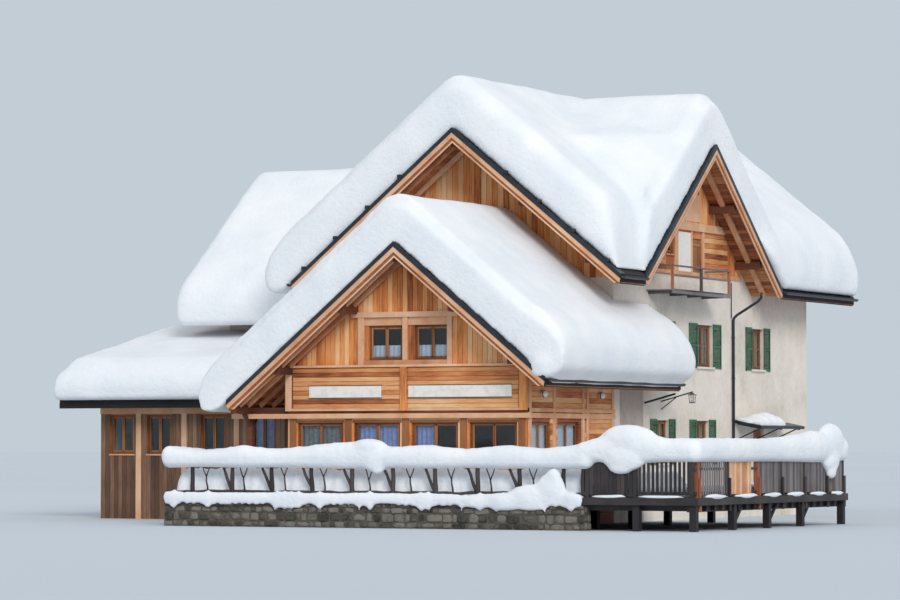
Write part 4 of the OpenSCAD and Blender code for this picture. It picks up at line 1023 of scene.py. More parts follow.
def between(a, b, count):
    """Even places from a to b."""
    return [a + (b - a) * k / (count - 1) for k in range(count)]


# %% Flashings, barge boards and narrow boards
FLASH, BARGE, SHADE, NARROW = 0.11, 0.13, 0.08, 0.045
FRONT_VERGE, BACK_VERGE = 5.35, 25.35
sheet_edges = Stack()
barge = Stack()
soffit = Stack()
VERGES = [(FRONT_ROOF, 0.0, 1), (MAIN_ROOF, FRONT_VERGE, 1), (CROSS_ROOF, EAVE_X, -1),
    (WING_ROOF, WING_LEFT - WING_EAVE, 1)]
for roof, at, inward in VERGES:
    for side in (-1, 1):
        rake(sheet_edges, roof, at - inward * 0.012, 0.03, -0.012, FLASH + 0.012, side, tint=0.3)
        rake(sheet_edges, roof, at + inward * 0.16, 0.34, -0.014, 0.02, side, tint=0.5)
        rake(barge, roof, at + inward * 0.01, 0.045, FLASH, BARGE, side, tint=0.7)
        # A set-back board in dark spruce: painted shade for the shadow line under the barge board
        rake(soffit, roof, at + inward * 0.045, 0.03, FLASH + BARGE, SHADE, side, tint=0.3)
        rake(barge, roof, at + inward * 0.05, 0.04, FLASH + BARGE + SHADE, NARROW, side, tint=0.95)
for side in (-1, 1):
    rake(sheet_edges, MAIN_ROOF, BACK_VERGE - 0.17, 0.34, -0.014, 0.012, side, tint=0.5)
    rake(barge, MAIN_ROOF, BACK_VERGE - 0.023, 0.045, ROOF_T, BARGE, side, tint=0.7)
    rake(barge, MAIN_ROOF, BACK_VERGE - 0.063, 0.035, ROOF_T + BARGE, NARROW, side, tint=0.95)
    for k in range(1, 5):
        spike = on_roof(MAIN_ROOF, 5.3, side * MAIN_HALF * (0.12 + 0.2 * k), -0.04)
        sheet_edges.bar(spike, spike + Vector((0, 0.2, 0.0)), 0.14, 0.11, tint=0.4)
sheet_edges.piece("verge_flashings", dark_sheet, "dark_metal")
barge.piece("barge_and_narrow_boards", pale_larch, "pale_timber", "barge_boards")

# %% Boards under the roofs
UNDER = 0.012


def underside(roof, a, b, near, far_off, side, board=0.19):
    """Boards under one slope that run along the ridge, between two offsets from it."""
    count = max(1, round((far_off - near) / board / math.cos(PITCH)))
    step_off = (far_off - near) / count
    length = step_off / math.cos(PITCH)
    down = ROOF_T + UNDER
    start = on_roof(roof, (a + b) / 2, side * (near + step_off / 2), down)
    after = on_roof(roof, (a + b) / 2, side * (near + 1.5 * step_off), down)
    along, over = directions(BACK if roof[0] else RIGHT)
    turn = (-side * PITCH, 0, 0) if roof[0] else (0, side * PITCH, 0)
    size = along * (b - a) + over * (length - GAP) + Vector((0, 0, 0.02))
    soffit.row(count, start, after - start, size, turn=turn, uneven=(0, 0, 0.25))


RIDGE_GAP = 0.12
WING_REACH = WING_HALF + WING_EAVE
FRONT_WALL_L, FRONT_WALL_R = 4.35, 4.05
MAIN_WALL = 4.85
WING_BACK, CROSS_BACK = 17.4, 18.6
FW_BACK = 9.9
for roof, a, b, left, right in ((MAIN_ROOF, FRONT_VERGE + 0.1, MAIN_FRONT, MAIN_HALF, MAIN_HALF),
        (MAIN_ROOF, MAIN_BACK, BACK_VERGE - 0.1, MAIN_HALF, MAIN_HALF),
        (CROSS_ROOF, MAIN_RIGHT, EAVE_X - 0.1, CROSS_HALF - 0.1, CROSS_HALF - 0.1),
        (WING_ROOF, WING_LEFT - WING_EAVE + 0.1, WING_LEFT, WING_REACH, WING_REACH)):
    underside(roof, a, b, RIDGE_GAP, left, -1)
    underside(roof, a, b, RIDGE_GAP, right, 1)
underside(WING_ROOF, WING_LEFT, MAIN_LEFT, WING_HALF, WING_REACH, -1)
underside(FRONT_ROOF, 0.1, FW_FRONT, RIDGE_GAP, FW_REACH_L, -1)
underside(FRONT_ROOF, 0.1, FW_FRONT, RIDGE_GAP, FW_REACH_R, 1)
underside(FRONT_ROOF, FW_FRONT, MAIN_FRONT, FRONT_WALL_L, FW_REACH_L, -1)
underside(FRONT_ROOF, FW_FRONT, FW_BACK, FRONT_WALL_R, FW_REACH_R, 1)
underside(MAIN_ROOF, WING_BACK, MAIN_BACK, MAIN_WALL, MAIN_HALF, -1)
underside(MAIN_ROOF, CROSS_BACK, MAIN_BACK, MAIN_WALL, MAIN_HALF, 1)
soffit.piece("soffit_boards", soffit_spruce, "roof_timber")

# %% Rafters
RAFTER_W, RAFTER_D = 0.1, 0.14
SHORT = 0.28
rafters = Stack()


def rafter_row(roof, places, side, near, wide=RAFTER_W):
    """Rafters down one slope, just under the soffit boards."""
    down = ROOF_T + UNDER * 2 + RAFTER_D / 2
    out, up = side * math.sin(PITCH), math.cos(PITCH)
    across = (0, out, up) if roof[0] else (out, 0, up)
    for at in places:
        a = on_roof(roof, at, side * near, down)
        b = on_roof(roof, at, side * (reach_of(roof, side) - SHORT), down)
        rafters.bar(a, b, wide, RAFTER_D, side=across)


RIDGE_START = 0.15
for side in (-1, 1):
    rafter_row(MAIN_ROOF, [5.9, 6.75], side, RIDGE_START)
    rafter_row(MAIN_ROOF, [24.0, 24.8], side, RIDGE_START)
    rafter_row(CROSS_ROOF, [4.52], side, RIDGE_START, wide=0.16)
    rafter_row(WING_ROOF, [-12.2], side, RIDGE_START)
    rafter_row(FRONT_ROOF, [0.35, 0.85], side, RIDGE_START)
rafter_row(FRONT_ROOF, between(1.6, 6.9, 8), -1, FRONT_WALL_L)
rafter_row(FRONT_ROOF, between(1.6, 9.7, 11), 1, FRONT_WALL_R)
rafter_row(MAIN_ROOF, between(19.0, 23.2, 6), 1, MAIN_WALL)
rafter_row(WING_ROOF, between(-11.0, -6.0, 7), -1, WING_HALF)
rafters.piece("rafters", pale_larch, "warm_timber")

# %% Gather the boards and posts of all walls
warm.piece("upright_boards", upright_larch_painted_lighter, "warm_timber")
flat.piece("level_boards", warm_level, "warm_timber")
pale.piece("pale_posts_and_beams", pale_larch, "pale_timber")

# %% [markdown]
# ## Snow
# Two metres of snow settle into one soft skin, and wind rounds every edge. Each packed snow
# solid is turned into a fine even mesh, its corners are smoothed, and slow noise makes the
# surface wander by a few centimetres, always inwards, so the snow keeps its packed size.

# %% Balls of snow
def unit_ball():
    """A ball with 162 points as plain lists, to be heaped as snow or pressed into stones."""
    bm = bmesh.new()
    bmesh.ops.create_icosphere(bm, subdivisions=3, radius=1.0)
    points = [v.co.copy() for v in bm.verts]
    faces = [tuple(v.index for v in f.verts) for f in bm.faces]
    bm.free()
    return points, faces


BALL = unit_ball()
print("a ball has", len(BALL[0]), "points")


def blob(stack, centre, radii, heap=False):
    """A ball of snow with three radii, or its upper half as a heap that lies on something."""
    points = [Vector((p.x, p.y, max(p.z, 0.0) if heap else p.z)) for p in BALL[0]]
    stack.put([Vector(centre) + Vector([p[i] * radii[i] for i in range(3)]) for p in points],
        BALL[1], 0.5)


def soft_mesh(stack):
    """The gathered balls as one mesh, to be turned into soft snow."""
    mesh = bpy.data.meshes.new("balls")
    mesh.from_pydata(stack.points, [], stack.faces)
    return mesh


# %% Turn solids into soft snow
def soften(name, solids, *nodes, voxel, rounds, wander, size):
    """One soft skin of snow round some solids: fine mesh, rounded corners, wandering face."""
    holder = bpy.data.objects.new("holder", solids)
    bpy.context.scene.collection.objects.link(holder)
    fine = holder.modifiers.new("fine", "REMESH")
    fine.mode = "VOXEL"
    fine.voxel_size = voxel
    even = holder.modifiers.new("even", "SMOOTH")
    even.factor = 0.5
    even.iterations = rounds
    seen = holder.evaluated_get(bpy.context.evaluated_depsgraph_get())
    mesh = bpy.data.meshes.new_from_object(seen)
    bpy.data.objects.remove(holder)
    moved = []
    for vertex in mesh.vertices:
        point, facing = vertex.co, vertex.normal
        slow = noise.noise(point / size) * 0.65 + noise.noise(point * 2.7 / size) * 0.35
        open_air = min(1.0, max(0.0, facing.z + 0.75) / 0.5)
        moved.append(point - facing * wander * open_air * (0.5 - 0.5 * slow))
    for vertex, point in zip(mesh.vertices, moved):
        vertex.co = point
    mesh.polygons.foreach_set("use_smooth", [True] * len(mesh.polygons))
    return settle(name, mesh, snow, "snow", *nodes)


def solids_of(*nodes, extra=None):
    """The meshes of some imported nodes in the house's own measure, and a stack of more solids."""
    gathered = extra or Stack()
    for name in nodes:
        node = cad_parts[name]
        shift = Matrix.Translation(-ORIGIN) @ node.matrix_world
        gathered.put([shift @ v.co for v in node.data.vertices],
            [tuple(p.vertices) for p in node.data.polygons], 0.5)
    return soft_mesh(gathered)


def wedge(stack, top, foot, a, b, low):
    """A closed solid with four corners on top: it fills a valley between two roofs."""
    points = [Vector(p) for p in (top, foot, a, b)]
    points += [p - Vector((0, 0, low)) for p in points]
    faces = [(0, 2, 3), (2, 1, 3), (4, 7, 6), (6, 7, 5), (0, 4, 6, 2), (2, 6, 5, 1), (1, 5, 7, 3),
        (3, 7, 4, 0)]
    stack.put(points, faces, 0.5)


# %% Snow on the roofs
WANDER = 0.1
LIP_STEP = 0.245
lip = Stack()
blob(lip, (4.93, 0.16, 4.78), (0.5, 0.34, 0.42))
blob(lip, (5.1, 0.3, 4.56), (0.28, 0.3, 0.24))
for k in range(38):
    y = 0.6 + LIP_STEP * k
    deep = 0.34 + 0.06 * noise.noise(Vector((2, y * 0.7, 0)))
    blob(lip, (FW_REACH_R - 0.04, y, 4.6), (0.31, 0.4, deep))
soften("front_wing_soft_snow", solids_of("front_wing_snow", extra=lip), "front_wing_snow",
    voxel=0.11, rounds=12, wander=WANDER, size=2.2)
soften("lean_to_soft_snow", solids_of("annex_snow"), "annex_snow",
    voxel=0.11, rounds=14, wander=WANDER, size=2.0)
valley = Stack()
wedge(valley, (-0.1, 12.1, 13.72), (4.9, 7.6, 10.35), (2.0, 8.2, 12.45), (4.4, 10.6, 12.6), 1.4)
soften("main_and_wing_soft_snow", solids_of("main_roof_snow", "left_wing_snow", extra=valley),
    "main_roof_snow", "left_wing_snow", voxel=0.13, rounds=12, wander=WANDER, size=2.6)

# %% [markdown]
# ## Terrace
# The long front railing is made of round timber as it grew: crooked posts, a thin top rail, a
# bottom rail, and in each bay one thick branch that leans and one thin forked twig.

# %% Round timber
def pole(stack, path, thick, sides=9, sway=0.02, knots=0.16, tint=None):
    """A round pole or pipe through some points, with a thickness at each, sway and knots."""
    path = [Vector(p) for p in path]
    rings, widths = [], []
    for a, b, wa, wb in zip(path[:-1], path[1:], thick[:-1], thick[1:]):
        parts = max(2, round((b - a).length / 0.16))
        for k in range(parts):
            rings.append(a.lerp(b, k / parts))
            widths.append(wa + (wb - wa) * k / parts)
    rings.append(path[-1])
    widths.append(thick[-1])
    first = (path[-1] - path[0]).normalized().orthogonal().normalized()
    seed = Vector((random.random() * 90, random.random() * 90, 0))
    points = []
    for k, (centre, width) in enumerate(zip(rings, widths)):
        free = 0.0 if k in (0, len(rings) - 1) else sway
        run = (rings[min(k + 1, len(rings) - 1)] - rings[max(k - 1, 0)]).normalized()
        over = run.cross(first).normalized()
        side = over.cross(run)
        centre = centre + side * free * noise.noise(seed + centre * 2.1) * 2
        for j in range(sides):
            turn = 2 * math.pi * j / sides
            knot = 1 + knots * noise.noise(seed * 2 + centre * 6 + Vector((0, 0, turn)))
            spoke = side * math.cos(turn) + over * math.sin(turn)
            points.append(centre + spoke * width / 2 * knot)
    faces = []
    for k in range(len(rings) - 1):
        for j in range(sides):
            a, b = k * sides + j, k * sides + (j + 1) % sides
            faces.append((a, b, b + sides, a + sides))
    last = (len(rings) - 1) * sides
    faces += [tuple(range(sides - 1, -1, -1)), tuple(range(last, last + sides))]
    stack.put(points, faces, random.random() if tint is None else tint)


# %% Railing of round timber
RAIL_Y = -2.85
RAIL_SPLIT = 7.8
RAIL_TOP, SLAT_TOP = 1.88, 2.08
RAIL_LEFT, RAIL_BACK = -6.15, 3.6
BOTTOM_RAIL, BRANCH_FOOT = 1.05, 1.04
DECK = {"left": -6.3, "right": 11.3, "front": -3.0, "back": 8.6, "top": FLOOR, "low": 0.75}
BAY = 1.38
round_timber = Stack()
post_x = [RAIL_SPLIT - 0.07] + [7.09 - BAY * k for k in range(10)]
for x in post_x:
    lean = random.uniform(-0.03, 0.03)
    pole(round_timber, [(x, RAIL_Y, DECK["top"] - 0.05), (x + lean, RAIL_Y, RAIL_TOP - 0.02)],
        (0.145, 0.12))
for a, b in zip(post_x[1:-1], post_x[2:]):
    foot = a + (b - a) * 0.2
    pole(round_timber, [(foot + 0.3, RAIL_Y, BRANCH_FOOT), (foot - 0.08, RAIL_Y, 1.84)],
        (0.11, 0.075), sway=0.03)
for a, b in zip(post_x[1:-1], post_x[2:]):
    mid = b + (a - b) * random.uniform(0.28, 0.4)
    fork = BRANCH_FOOT + random.uniform(0.35, 0.5)
    split = (mid, RAIL_Y, fork)
    pole(round_timber, [(mid + 0.05, RAIL_Y, BRANCH_FOOT), split], (0.06, 0.045), sides=7)
    pole(round_timber, [split, (mid - 0.16, RAIL_Y + 0.02, 1.83)], (0.042, 0.03), sides=7)
    pole(round_timber, [split, (mid + 0.15, RAIL_Y, 1.83)], (0.04, 0.028), sides=7)
for z, thick in ((RAIL_TOP - 0.05, 0.085), (BOTTOM_RAIL, 0.09)):
    stops = [(x, RAIL_Y + random.uniform(-0.015, 0.015), z) for x in between(RAIL_LEFT, RAIL_SPLIT, 7)]
    pole(round_timber, stops, [thick * random.uniform(0.9, 1.1) for _ in stops], sway=0.03)
for y in (-1.6, 0.1, 1.9, RAIL_BACK):
    pole(round_timber, [(RAIL_LEFT, y, DECK["top"] - 0.05), (RAIL_LEFT, y, RAIL_TOP)], (0.14, 0.12))
for z in (RAIL_TOP - 0.05, BOTTOM_RAIL):
    pole(round_timber, [(RAIL_LEFT, RAIL_Y, z), (RAIL_LEFT, RAIL_BACK, z)], (0.08, 0.08))
round_timber.piece("branch_railing_round_timber", wet_timber, "weathered_timber", "branch_railing",
    smooth=True)

# %% [markdown]
# To its right the railing is sawn: dark close boards, then slats with gaps. On the side, the
# bays between orange-brown posts are filled in turn with slats, one fresh panel and grey
# boards.

# %% Slatted railing
SLAT_X = DECK["right"] - 0.15
SLAT_MID, SLAT_H = 1.51, 0.96
RAIL_D = 0.09
RAIL_HALF = 0.06
LOW_RAIL = (1.03, 1.12)
RAIL_ZONE = (SLAT_TOP - RAIL_D, SLAT_TOP)
slats = Stack()
dark_slats = Stack()
rusty = Stack()
fresh = Stack()
for x in (7.86, 9.35, 11.09):
    dark_slats.box(x - RAIL_HALF, x + RAIL_HALF, RAIL_Y - RAIL_HALF, RAIL_Y + RAIL_HALF, FLOOR,
        RAIL_ZONE[0])
for half, zone in ((RAIL_HALF, RAIL_ZONE), (RAIL_HALF / 2, LOW_RAIL)):
    dark_slats.box(RAIL_SPLIT + 0.06, SLAT_X, RAIL_Y - half, RAIL_Y + half, *zone)
dark_slats.row(11, (7.99, RAIL_Y - 0.03, SLAT_MID), (0.123, 0, 0), (0.112, 0.022, SLAT_H),
    uneven=(0.02, 0.2, 0.02))
dark_slats.row(12, (9.5, RAIL_Y - 0.03, SLAT_MID), (0.137, 0, 0), (0.078, 0.024, SLAT_H),
    uneven=(0.08, 0.2, 0.02))
side_y = [-2.62, -0.5, 1.71, 3.5, 5.3, 7.1, 8.5]
for k, y in enumerate(side_y):
    posts = rusty if k in (0, 2) else dark_slats
    posts.box(SLAT_X - RAIL_HALF, SLAT_X + RAIL_HALF, y - RAIL_HALF, y + RAIL_HALF, FLOOR - 0.15,
        RAIL_ZONE[0])
    posts.box(SLAT_X + 0.07, SLAT_X + 0.13, y - 0.05, y + 0.05, 0.55, 1.5)
for finish, a, b, tint in ((dark_slats, RAIL_Y, 0.0, None), (rusty, 0.0, side_y[5], 0.3),
        (dark_slats, side_y[5], DECK["back"], None)):
    finish.box(SLAT_X - RAIL_HALF, SLAT_X + RAIL_HALF, a, b, *RAIL_ZONE, tint)
for z0, z1 in (LOW_RAIL, (1.72, 1.8)):
    dark_slats.box(SLAT_X - 0.03, SLAT_X + 0.03, RAIL_Y, DECK["back"] - 0.05, z0, z1)
slats.row(12, (SLAT_X + 0.03, -2.42, SLAT_MID), (0, 0.165, 0), (0.024, 0.085, SLAT_H),
    uneven=(0.2, 0.05, 0.02))
fresh.row(12, (SLAT_X + 0.035, -0.38, SLAT_MID), (0, 0.137, 0), (0.022, 0.132, SLAT_H))
slats.row(51, (SLAT_X + 0.03, 1.84, SLAT_MID), (0, 0.133, 0), (0.022, 0.122, SLAT_H),
    uneven=(0.25, 0.03, 0.03))
dark_slats.piece("dark_railing_boards", wet_timber, "weathered_timber", "slat_railing_front")
slats.piece("grey_railing_slats", silver_boards, "grey_slats", "slat_railing_side")
rusty.piece("orange_brown_posts", rust_timber, "warm_timber")
fresh.piece("fresh_panel", pale_larch, "pale_timber")

# %% [markdown]
# Under the deck, planks lie across joists, and a dark board closes the joist ends. The rubble
# wall is built of single stones: each one is a ball pressed into a rough block, so no two
# are alike and the joints stay dark and deep.

# %% Deck planks, joists and edge boards
BEAM_ZONE = (0.55, DECK["low"])
EDGE_ZONE = (0.74, DECK["top"])
deck = Stack()
for count, x, front, back in ((117, DECK["left"] + 0.08, DECK["front"], FW_FRONT),
        (48, 4.1, FW_FRONT, DECK["back"])):
    deck.row(count, (x, (front + back) / 2, DECK["top"] - 0.02), (0.15, 0, 0),
        (0.14, back - front, 0.036), uneven=(0.01, 0, 0.1))
deck.box(RAIL_SPLIT, DECK["right"] + 0.02, DECK["front"] - 0.035, DECK["front"], *EDGE_ZONE, 0.5)
deck.box(DECK["left"], RAIL_SPLIT, DECK["front"] - 0.03, DECK["front"] + 0.02, 0.78, 0.93, 0.2)
deck.box(DECK["right"], DECK["right"] + 0.035, DECK["front"], DECK["back"], *EDGE_ZONE, 0.6)
deck.box(SLAT_X - 0.2, SLAT_X - 0.05, DECK["front"] + 0.1, DECK["back"], *BEAM_ZONE, 0.4)
deck.box(6.7, 6.9, DECK["front"] + 0.5, DECK["back"], *BEAM_ZONE, 0.4)
deck.row(20, (9.0, -2.6, 0.66), (0, 0.58, 0), (4.4, 0.1, 0.17))
for y in (-0.1, 2.5, 5.1):
    deck.bar((11.15, y + 0.06, 0.14), (11.15, y + 0.62, 0.62), 0.08, 0.08)
deck.piece("deck_planks_and_joists", wet_timber, "weathered_timber")

# %% Rubble wall of single stones
STONE_GAP = 0.012
STONE_LOW = 0.008
STONE_DEEP = 0.17


def stone(stack, centre, size):
    """One stone: a ball pressed towards a block, with a broken face of its own."""
    seed = Vector((random.random() * 60, random.random() * 60, random.random() * 60))
    tilt = Matrix.Rotation(random.uniform(-0.2, 0.2), 3, random.choice("XYZ"))
    square = random.uniform(0.42, 0.72)
    points = []
    for p in BALL[0]:
        pressed = Vector([math.copysign(abs(c) ** square, c) for c in p])
        pressed *= 0.98 / max(1.0, pressed.length / 1.45)
        rough = 1 + 0.22 * noise.noise(seed + p * 1.3) + 0.07 * noise.noise(seed + p * 4)
        point = Vector(centre) + tilt @ (Vector(size) / 2 * pressed * rough)
        point.z = max(point.z, STONE_LOW)
        points.append(point)
    stack.put(points, BALL[1], random.random())


def stone_wall(stack, a, b, along_x, face, z0, z1, outward):
    """Rough courses of stones on one face of a wall, from a to b."""
    z = z0
    while z < z1 - 0.07:
        course = min(random.uniform(0.11, 0.26), z1 - z)
        place = a
        while place < b - 0.06:
            wide = min(random.uniform(0.12, 0.5), b - place)
            mid = place + wide / 2
            off = face - outward * random.uniform(0.03, 0.06)
            tall = course * random.uniform(0.82, 1.12) - STONE_GAP
            high = z + course / 2
            if along_x:
                stone(stack, (mid, off, high), (wide - STONE_GAP, STONE_DEEP, tall))
            else:
                stone(stack, (off, mid, high), (STONE_DEEP, wide - STONE_GAP, tall))
            place += wide
        z += course


WALL_FACE = DECK["front"] + 0.06
stones = Stack()
stone_wall(stones, DECK["left"], RAIL_SPLIT, True, WALL_FACE, 0.0, DECK["low"], -1)
stone_wall(stones, DECK["front"] + 0.15, ANNEX_FRONT, False, DECK["left"], 0.0, DECK["low"], -1)
stone_wall(stones, WALL_FACE, DECK["front"] + 0.46, False, RAIL_SPLIT, 0.0, DECK["low"], 1)
stones.piece("rubble_stones", rubble, "rubble_stone", smooth=True)

# %% [markdown]
# Snow on the terrace lies in pillows on the rails. It sags over the front in two big lumps,
# hides the deck to the knee and drips over the deck's edge in front of the stones.

# %% Snow on the railings
PILLOW = 0.34
PILLOW_STEP = 0.15


def pillow(stack, a, b, rail_top, heights, wide=PILLOW):
    """A row of balls from one end of a rail to the other, as high as a list of heights says."""
    a, b = Vector(a), Vector(b)
    steps = round((b - a).length / PILLOW_STEP)
    for k in range(steps + 1):
        place = k / steps * (len(heights) - 1)
        i = min(int(place), len(heights) - 2)
        high = heights[i] + (heights[i + 1] - heights[i]) * (place - i)
        high *= random.uniform(0.98, 1.02)
        centre = a.lerp(b, k / steps) + Vector((0, 0, rail_top + high * 0.42 - 0.03))
        across = wide * random.uniform(0.97, 1.0)
        blob(stack, centre, (across, across, high * 0.6))


rail_snow = Stack()
pillow(rail_snow, (-6.1, RAIL_Y, 0), (RAIL_SPLIT, RAIL_Y, 0), RAIL_TOP,
    [0.55, 0.46, 0.6, 0.5, 0.62, 0.72, 0.56, 0.62, 0.5, 0.6, 0.52, 0.64])
pillow(rail_snow, (RAIL_SPLIT, RAIL_Y, 0), (SLAT_X, RAIL_Y, 0), SLAT_TOP, [0.5, 0.75, 0.8, 0.6, 0.6])
pillow(rail_snow, (SLAT_X, RAIL_Y, 0), (SLAT_X, DECK["back"] - 0.3, 0), SLAT_TOP,
    [0.6, 0.62, 0.6, 0.66, 0.85, 0.7])
pillow(rail_snow, (RAIL_LEFT, RAIL_Y, 0), (RAIL_LEFT, RAIL_BACK, 0), RAIL_TOP,
    [0.6, 0.5, 0.55, 0.4], wide=0.3)
RAIL_LUMPS = [
    ((9.15, RAIL_Y + 0.02, 2.55), (0.95, 0.38, 0.5)),
    ((9.05, RAIL_Y - 0.08, 2.12), (0.72, 0.29, 0.44)),
    ((8.95, RAIL_Y - 0.08, 1.9), (0.45, 0.24, 0.3)),
    ((1.0, RAIL_Y - 0.1, 1.98), (0.5, 0.24, 0.32)),
    ((1.1, RAIL_Y - 0.12, 1.78), (0.24, 0.18, 0.2)),
    ((0.75, RAIL_Y, 2.4), (0.62, 0.34, 0.26)),
    ((SLAT_X, 7.5, 2.55), (0.36, 0.95, 0.6)),
    ((SLAT_X + 0.1, 7.3, 2.0), (0.25, 0.6, 0.4)),
    ((SLAT_X + 0.12, 7.3, 1.68), (0.18, 0.34, 0.28)),
]
for centre, radii in RAIL_LUMPS:
    blob(rail_snow, centre, radii)
soften("rail_soft_snow", soft_mesh(rail_snow), "terrace_snow", voxel=0.055, rounds=9, wander=0.05,
    size=0.7)

# %% Snow on the deck and over its edge
EDGE = DECK["front"]
BED_TOP = 1.3
DRIP_SHARE = 0.2
bed = Stack()
bed.box(DECK["left"] + 0.05, RAIL_SPLIT, EDGE + 0.02, FW_FRONT - 0.25, DECK["top"] - 0.02, 1.0)
bed.box(DECK["left"] + 0.15, RAIL_SPLIT - 0.1, RAIL_Y + 0.5, FW_FRONT - 0.3, DECK["top"], BED_TOP)
for x in between(DECK["left"] + 0.45, RAIL_SPLIT - 0.45, 38):
    high = 0.87 + 0.08 * noise.noise(Vector((x * 0.9, 9, 0)))
    blob(bed, (x, RAIL_Y + 0.72, DECK["top"]), (0.42, 0.6, high), heap=True)
bed.box(4.6, SLAT_X - 0.2, EDGE + 0.3, DECK["back"] - 0.15, DECK["top"] - 0.02, BED_TOP)
for k in range(7):
    blob(bed, (8.2 + 0.33 * k, RAIL_Y + 0.75, DECK["top"]), (0.45, 0.55, 0.8), heap=True)
for x in between(DECK["left"] + 0.15, RAIL_SPLIT - 0.15, 58):
    deep = 0.165 + 0.065 * noise.noise(Vector((x * 1.1, 4, 0)))
    if random.random() < DRIP_SHARE:
        deep += 0.1
    blob(bed, (x, EDGE - 0.02, DECK["top"] - deep * 0.45), (0.17, 0.13, deep + 0.06))
for x, z, wide, high in ((5.3, 0.83, 0.75, 0.3), (6.1, 0.95, 0.8, 0.42), (6.75, 1.2, 0.5, 0.5),
        (6.85, 1.5, 0.26, 0.32), (4.4, 0.8, 0.6, 0.2), (7.4, 0.95, 0.3, 0.2)):
    blob(bed, (x, EDGE + 0.02, z), (wide, 0.2, high))
for x in (-2.4, 0.5, 2.6, 3.9, 5.0, 6.6):
    blob(bed, (x, EDGE - 0.03, 0.62), (0.07, 0.06, 0.19))
for x, wide in ((8.55, 0.66), (10.2, 0.85)):
    blob(bed, (x, EDGE + 0.03, 0.99), (wide, 0.13, 0.09))
for a, b in zip(side_y[:-1], side_y[1:]):
    blob(bed, (DECK["right"] - 0.02, (a + b) / 2, 0.99), (0.14, (b - a) / 2 - 0.1, 0.1))
soften("deck_soft_snow", soft_mesh(bed), voxel=0.075, rounds=6, wander=0.07, size=1.1)

# %% [markdown]
# ## Small parts
# What the eye finds last: a swan-neck on the downpipe, clips on the gutters, a lantern on an
# arm, rims on the globe lamps, the thin balcony frame, doors of boards and a chimney head.

# %% Eave boards, gutter clips and the downpipe
iron = Stack()
eave_boards = Stack()


def eave_board(roof, a, b, side, depth=0.09):
    """A narrow upright board under a roof's lower edge."""
    reach = reach_of(roof, side) - 0.05
    down = Vector((0, 0, ROOF_TV + depth / 2))
    p, q = on_roof(roof, a, side * reach, 0), on_roof(roof, b, side * reach, 0)
    eave_boards.bar(p - down, q - down, 0.05, depth, tint=0.6)


MAIN_EAVE = (FRONT_VERGE + 0.05, BACK_VERGE - 0.05)
CROSS_LOW, WING_LOW = 7.2, 8.6
eave_board(FRONT_ROOF, 0.1, FW_BACK, 1)
eave_board(FRONT_ROOF, 0.1, MAIN_FRONT, -1)
eave_board(MAIN_ROOF, MAIN_EAVE[0], CROSS_LOW, 1)
eave_board(MAIN_ROOF, CROSS_BACK, MAIN_EAVE[1], 1)
eave_board(MAIN_ROOF, MAIN_EAVE[0], WING_LOW, -1)
eave_board(MAIN_ROOF, WING_BACK, MAIN_EAVE[1], -1)
for side in (-1, 1):
    eave_board(WING_ROOF, WING_LEFT - 0.95, MAIN_LEFT - 1.1, side)
eave_boards.box(-15.0, -6.0, 4.28, 4.33, 3.66, 3.84, tint=0.2)
eave_boards.piece("eave_boards", tarred_edge, "roof_timber")
MAIN_GUTTER_Z = MAIN_RIDGE_Z - SLOPE * MAIN_HALF - 0.06
FRONT_GUTTER_Z = FW_RIDGE_Z - SLOPE * FW_REACH_R - 0.06
for x, z, places in ((EAVE_X + 0.09, MAIN_GUTTER_Z, [5.6, 6.4] + between(18.9, 25.1, 9)),
        (FW_REACH_R + 0.09, FRONT_GUTTER_Z, between(0.3, 9.7, 14))):
    for y in places:
        iron.bar((x - 0.13, y, z + 0.015), (x + 0.1, y, z + 0.015), 0.025, 0.006, tint=0.5)
        iron.bar((x - 0.1, y, z + 0.01), (x - 0.1, y, z - 0.09), 0.025, 0.006, side=RIGHT, tint=0.5)
PIPE_X, PIPE_Y = 4.06, 16.71
pipe = Stack()


def tube(path, width, sides=14, tint=None):
    """A smooth pipe of one width through some points."""
    pole(pipe, path, (width,) * len(path), sides=sides, sway=0.0, knots=0.0, tint=tint)


tube([(5.19, 16.5, 7.6), (5.17, 16.5, 7.42), (5.05, 16.53, 7.3), (4.2, 16.68, 6.85),
    (4.08, 16.7, 6.74), (PIPE_X, PIPE_Y, 6.6)], 0.09, tint=0.5)
tube([(4.03, 16.62, 6.75), (4.03, 16.62, 7.95)], 0.035, sides=10, tint=0.3)
for z in (1.9, 3.3, 4.7, 6.1):
    tube([(PIPE_X, PIPE_Y, z - 0.025), (PIPE_X, PIPE_Y, z + 0.025)], 0.122, sides=16)
    iron.bar((4.0, PIPE_Y, z), (4.05, PIPE_Y, z), 0.03, 0.03, tint=0.2)
tube([(PIPE_X, PIPE_Y, 1.22), (PIPE_X, PIPE_Y, 0.4), (PIPE_X + 0.02, PIPE_Y, 0.3),
    (PIPE_X + 0.14, PIPE_Y, 0.2)], 0.1, tint=0.5)
pipe.piece("swan_neck_and_clips", dark_sheet, "dark_metal", smooth=True)

# %% Lantern, strut and globe lamps
LANTERN = Vector((5.1, 10.85, 3.98))
for a, b, thick in (((4.0, 9.57, 3.8), (5.12, 9.46, 4.08), 0.06),
        ((4.0, LANTERN.y, 3.86), (5.12, LANTERN.y, 4.16), 0.04),
        ((4.0, LANTERN.y, 3.6), (4.55, LANTERN.y, 4.0), 0.03)):
    iron.bar(a, b, thick, thick, tint=0.1)
for x, y in ((-0.08, -0.08), (0.08, -0.08), (0.08, 0.08), (-0.08, 0.08)):
    foot = LANTERN + Vector((x * 0.8, y * 0.8, -0.17))
    iron.bar(foot, LANTERN + Vector((x, y, 0.06)), 0.016, 0.016)
for z, half in ((-0.18, 0.075), (0.07, 0.11), (0.11, 0.06)):
    iron.box(LANTERN.x - half, LANTERN.x + half, LANTERN.y - half, LANTERN.y + half, LANTERN.z + z,
        LANTERN.z + z + 0.03)
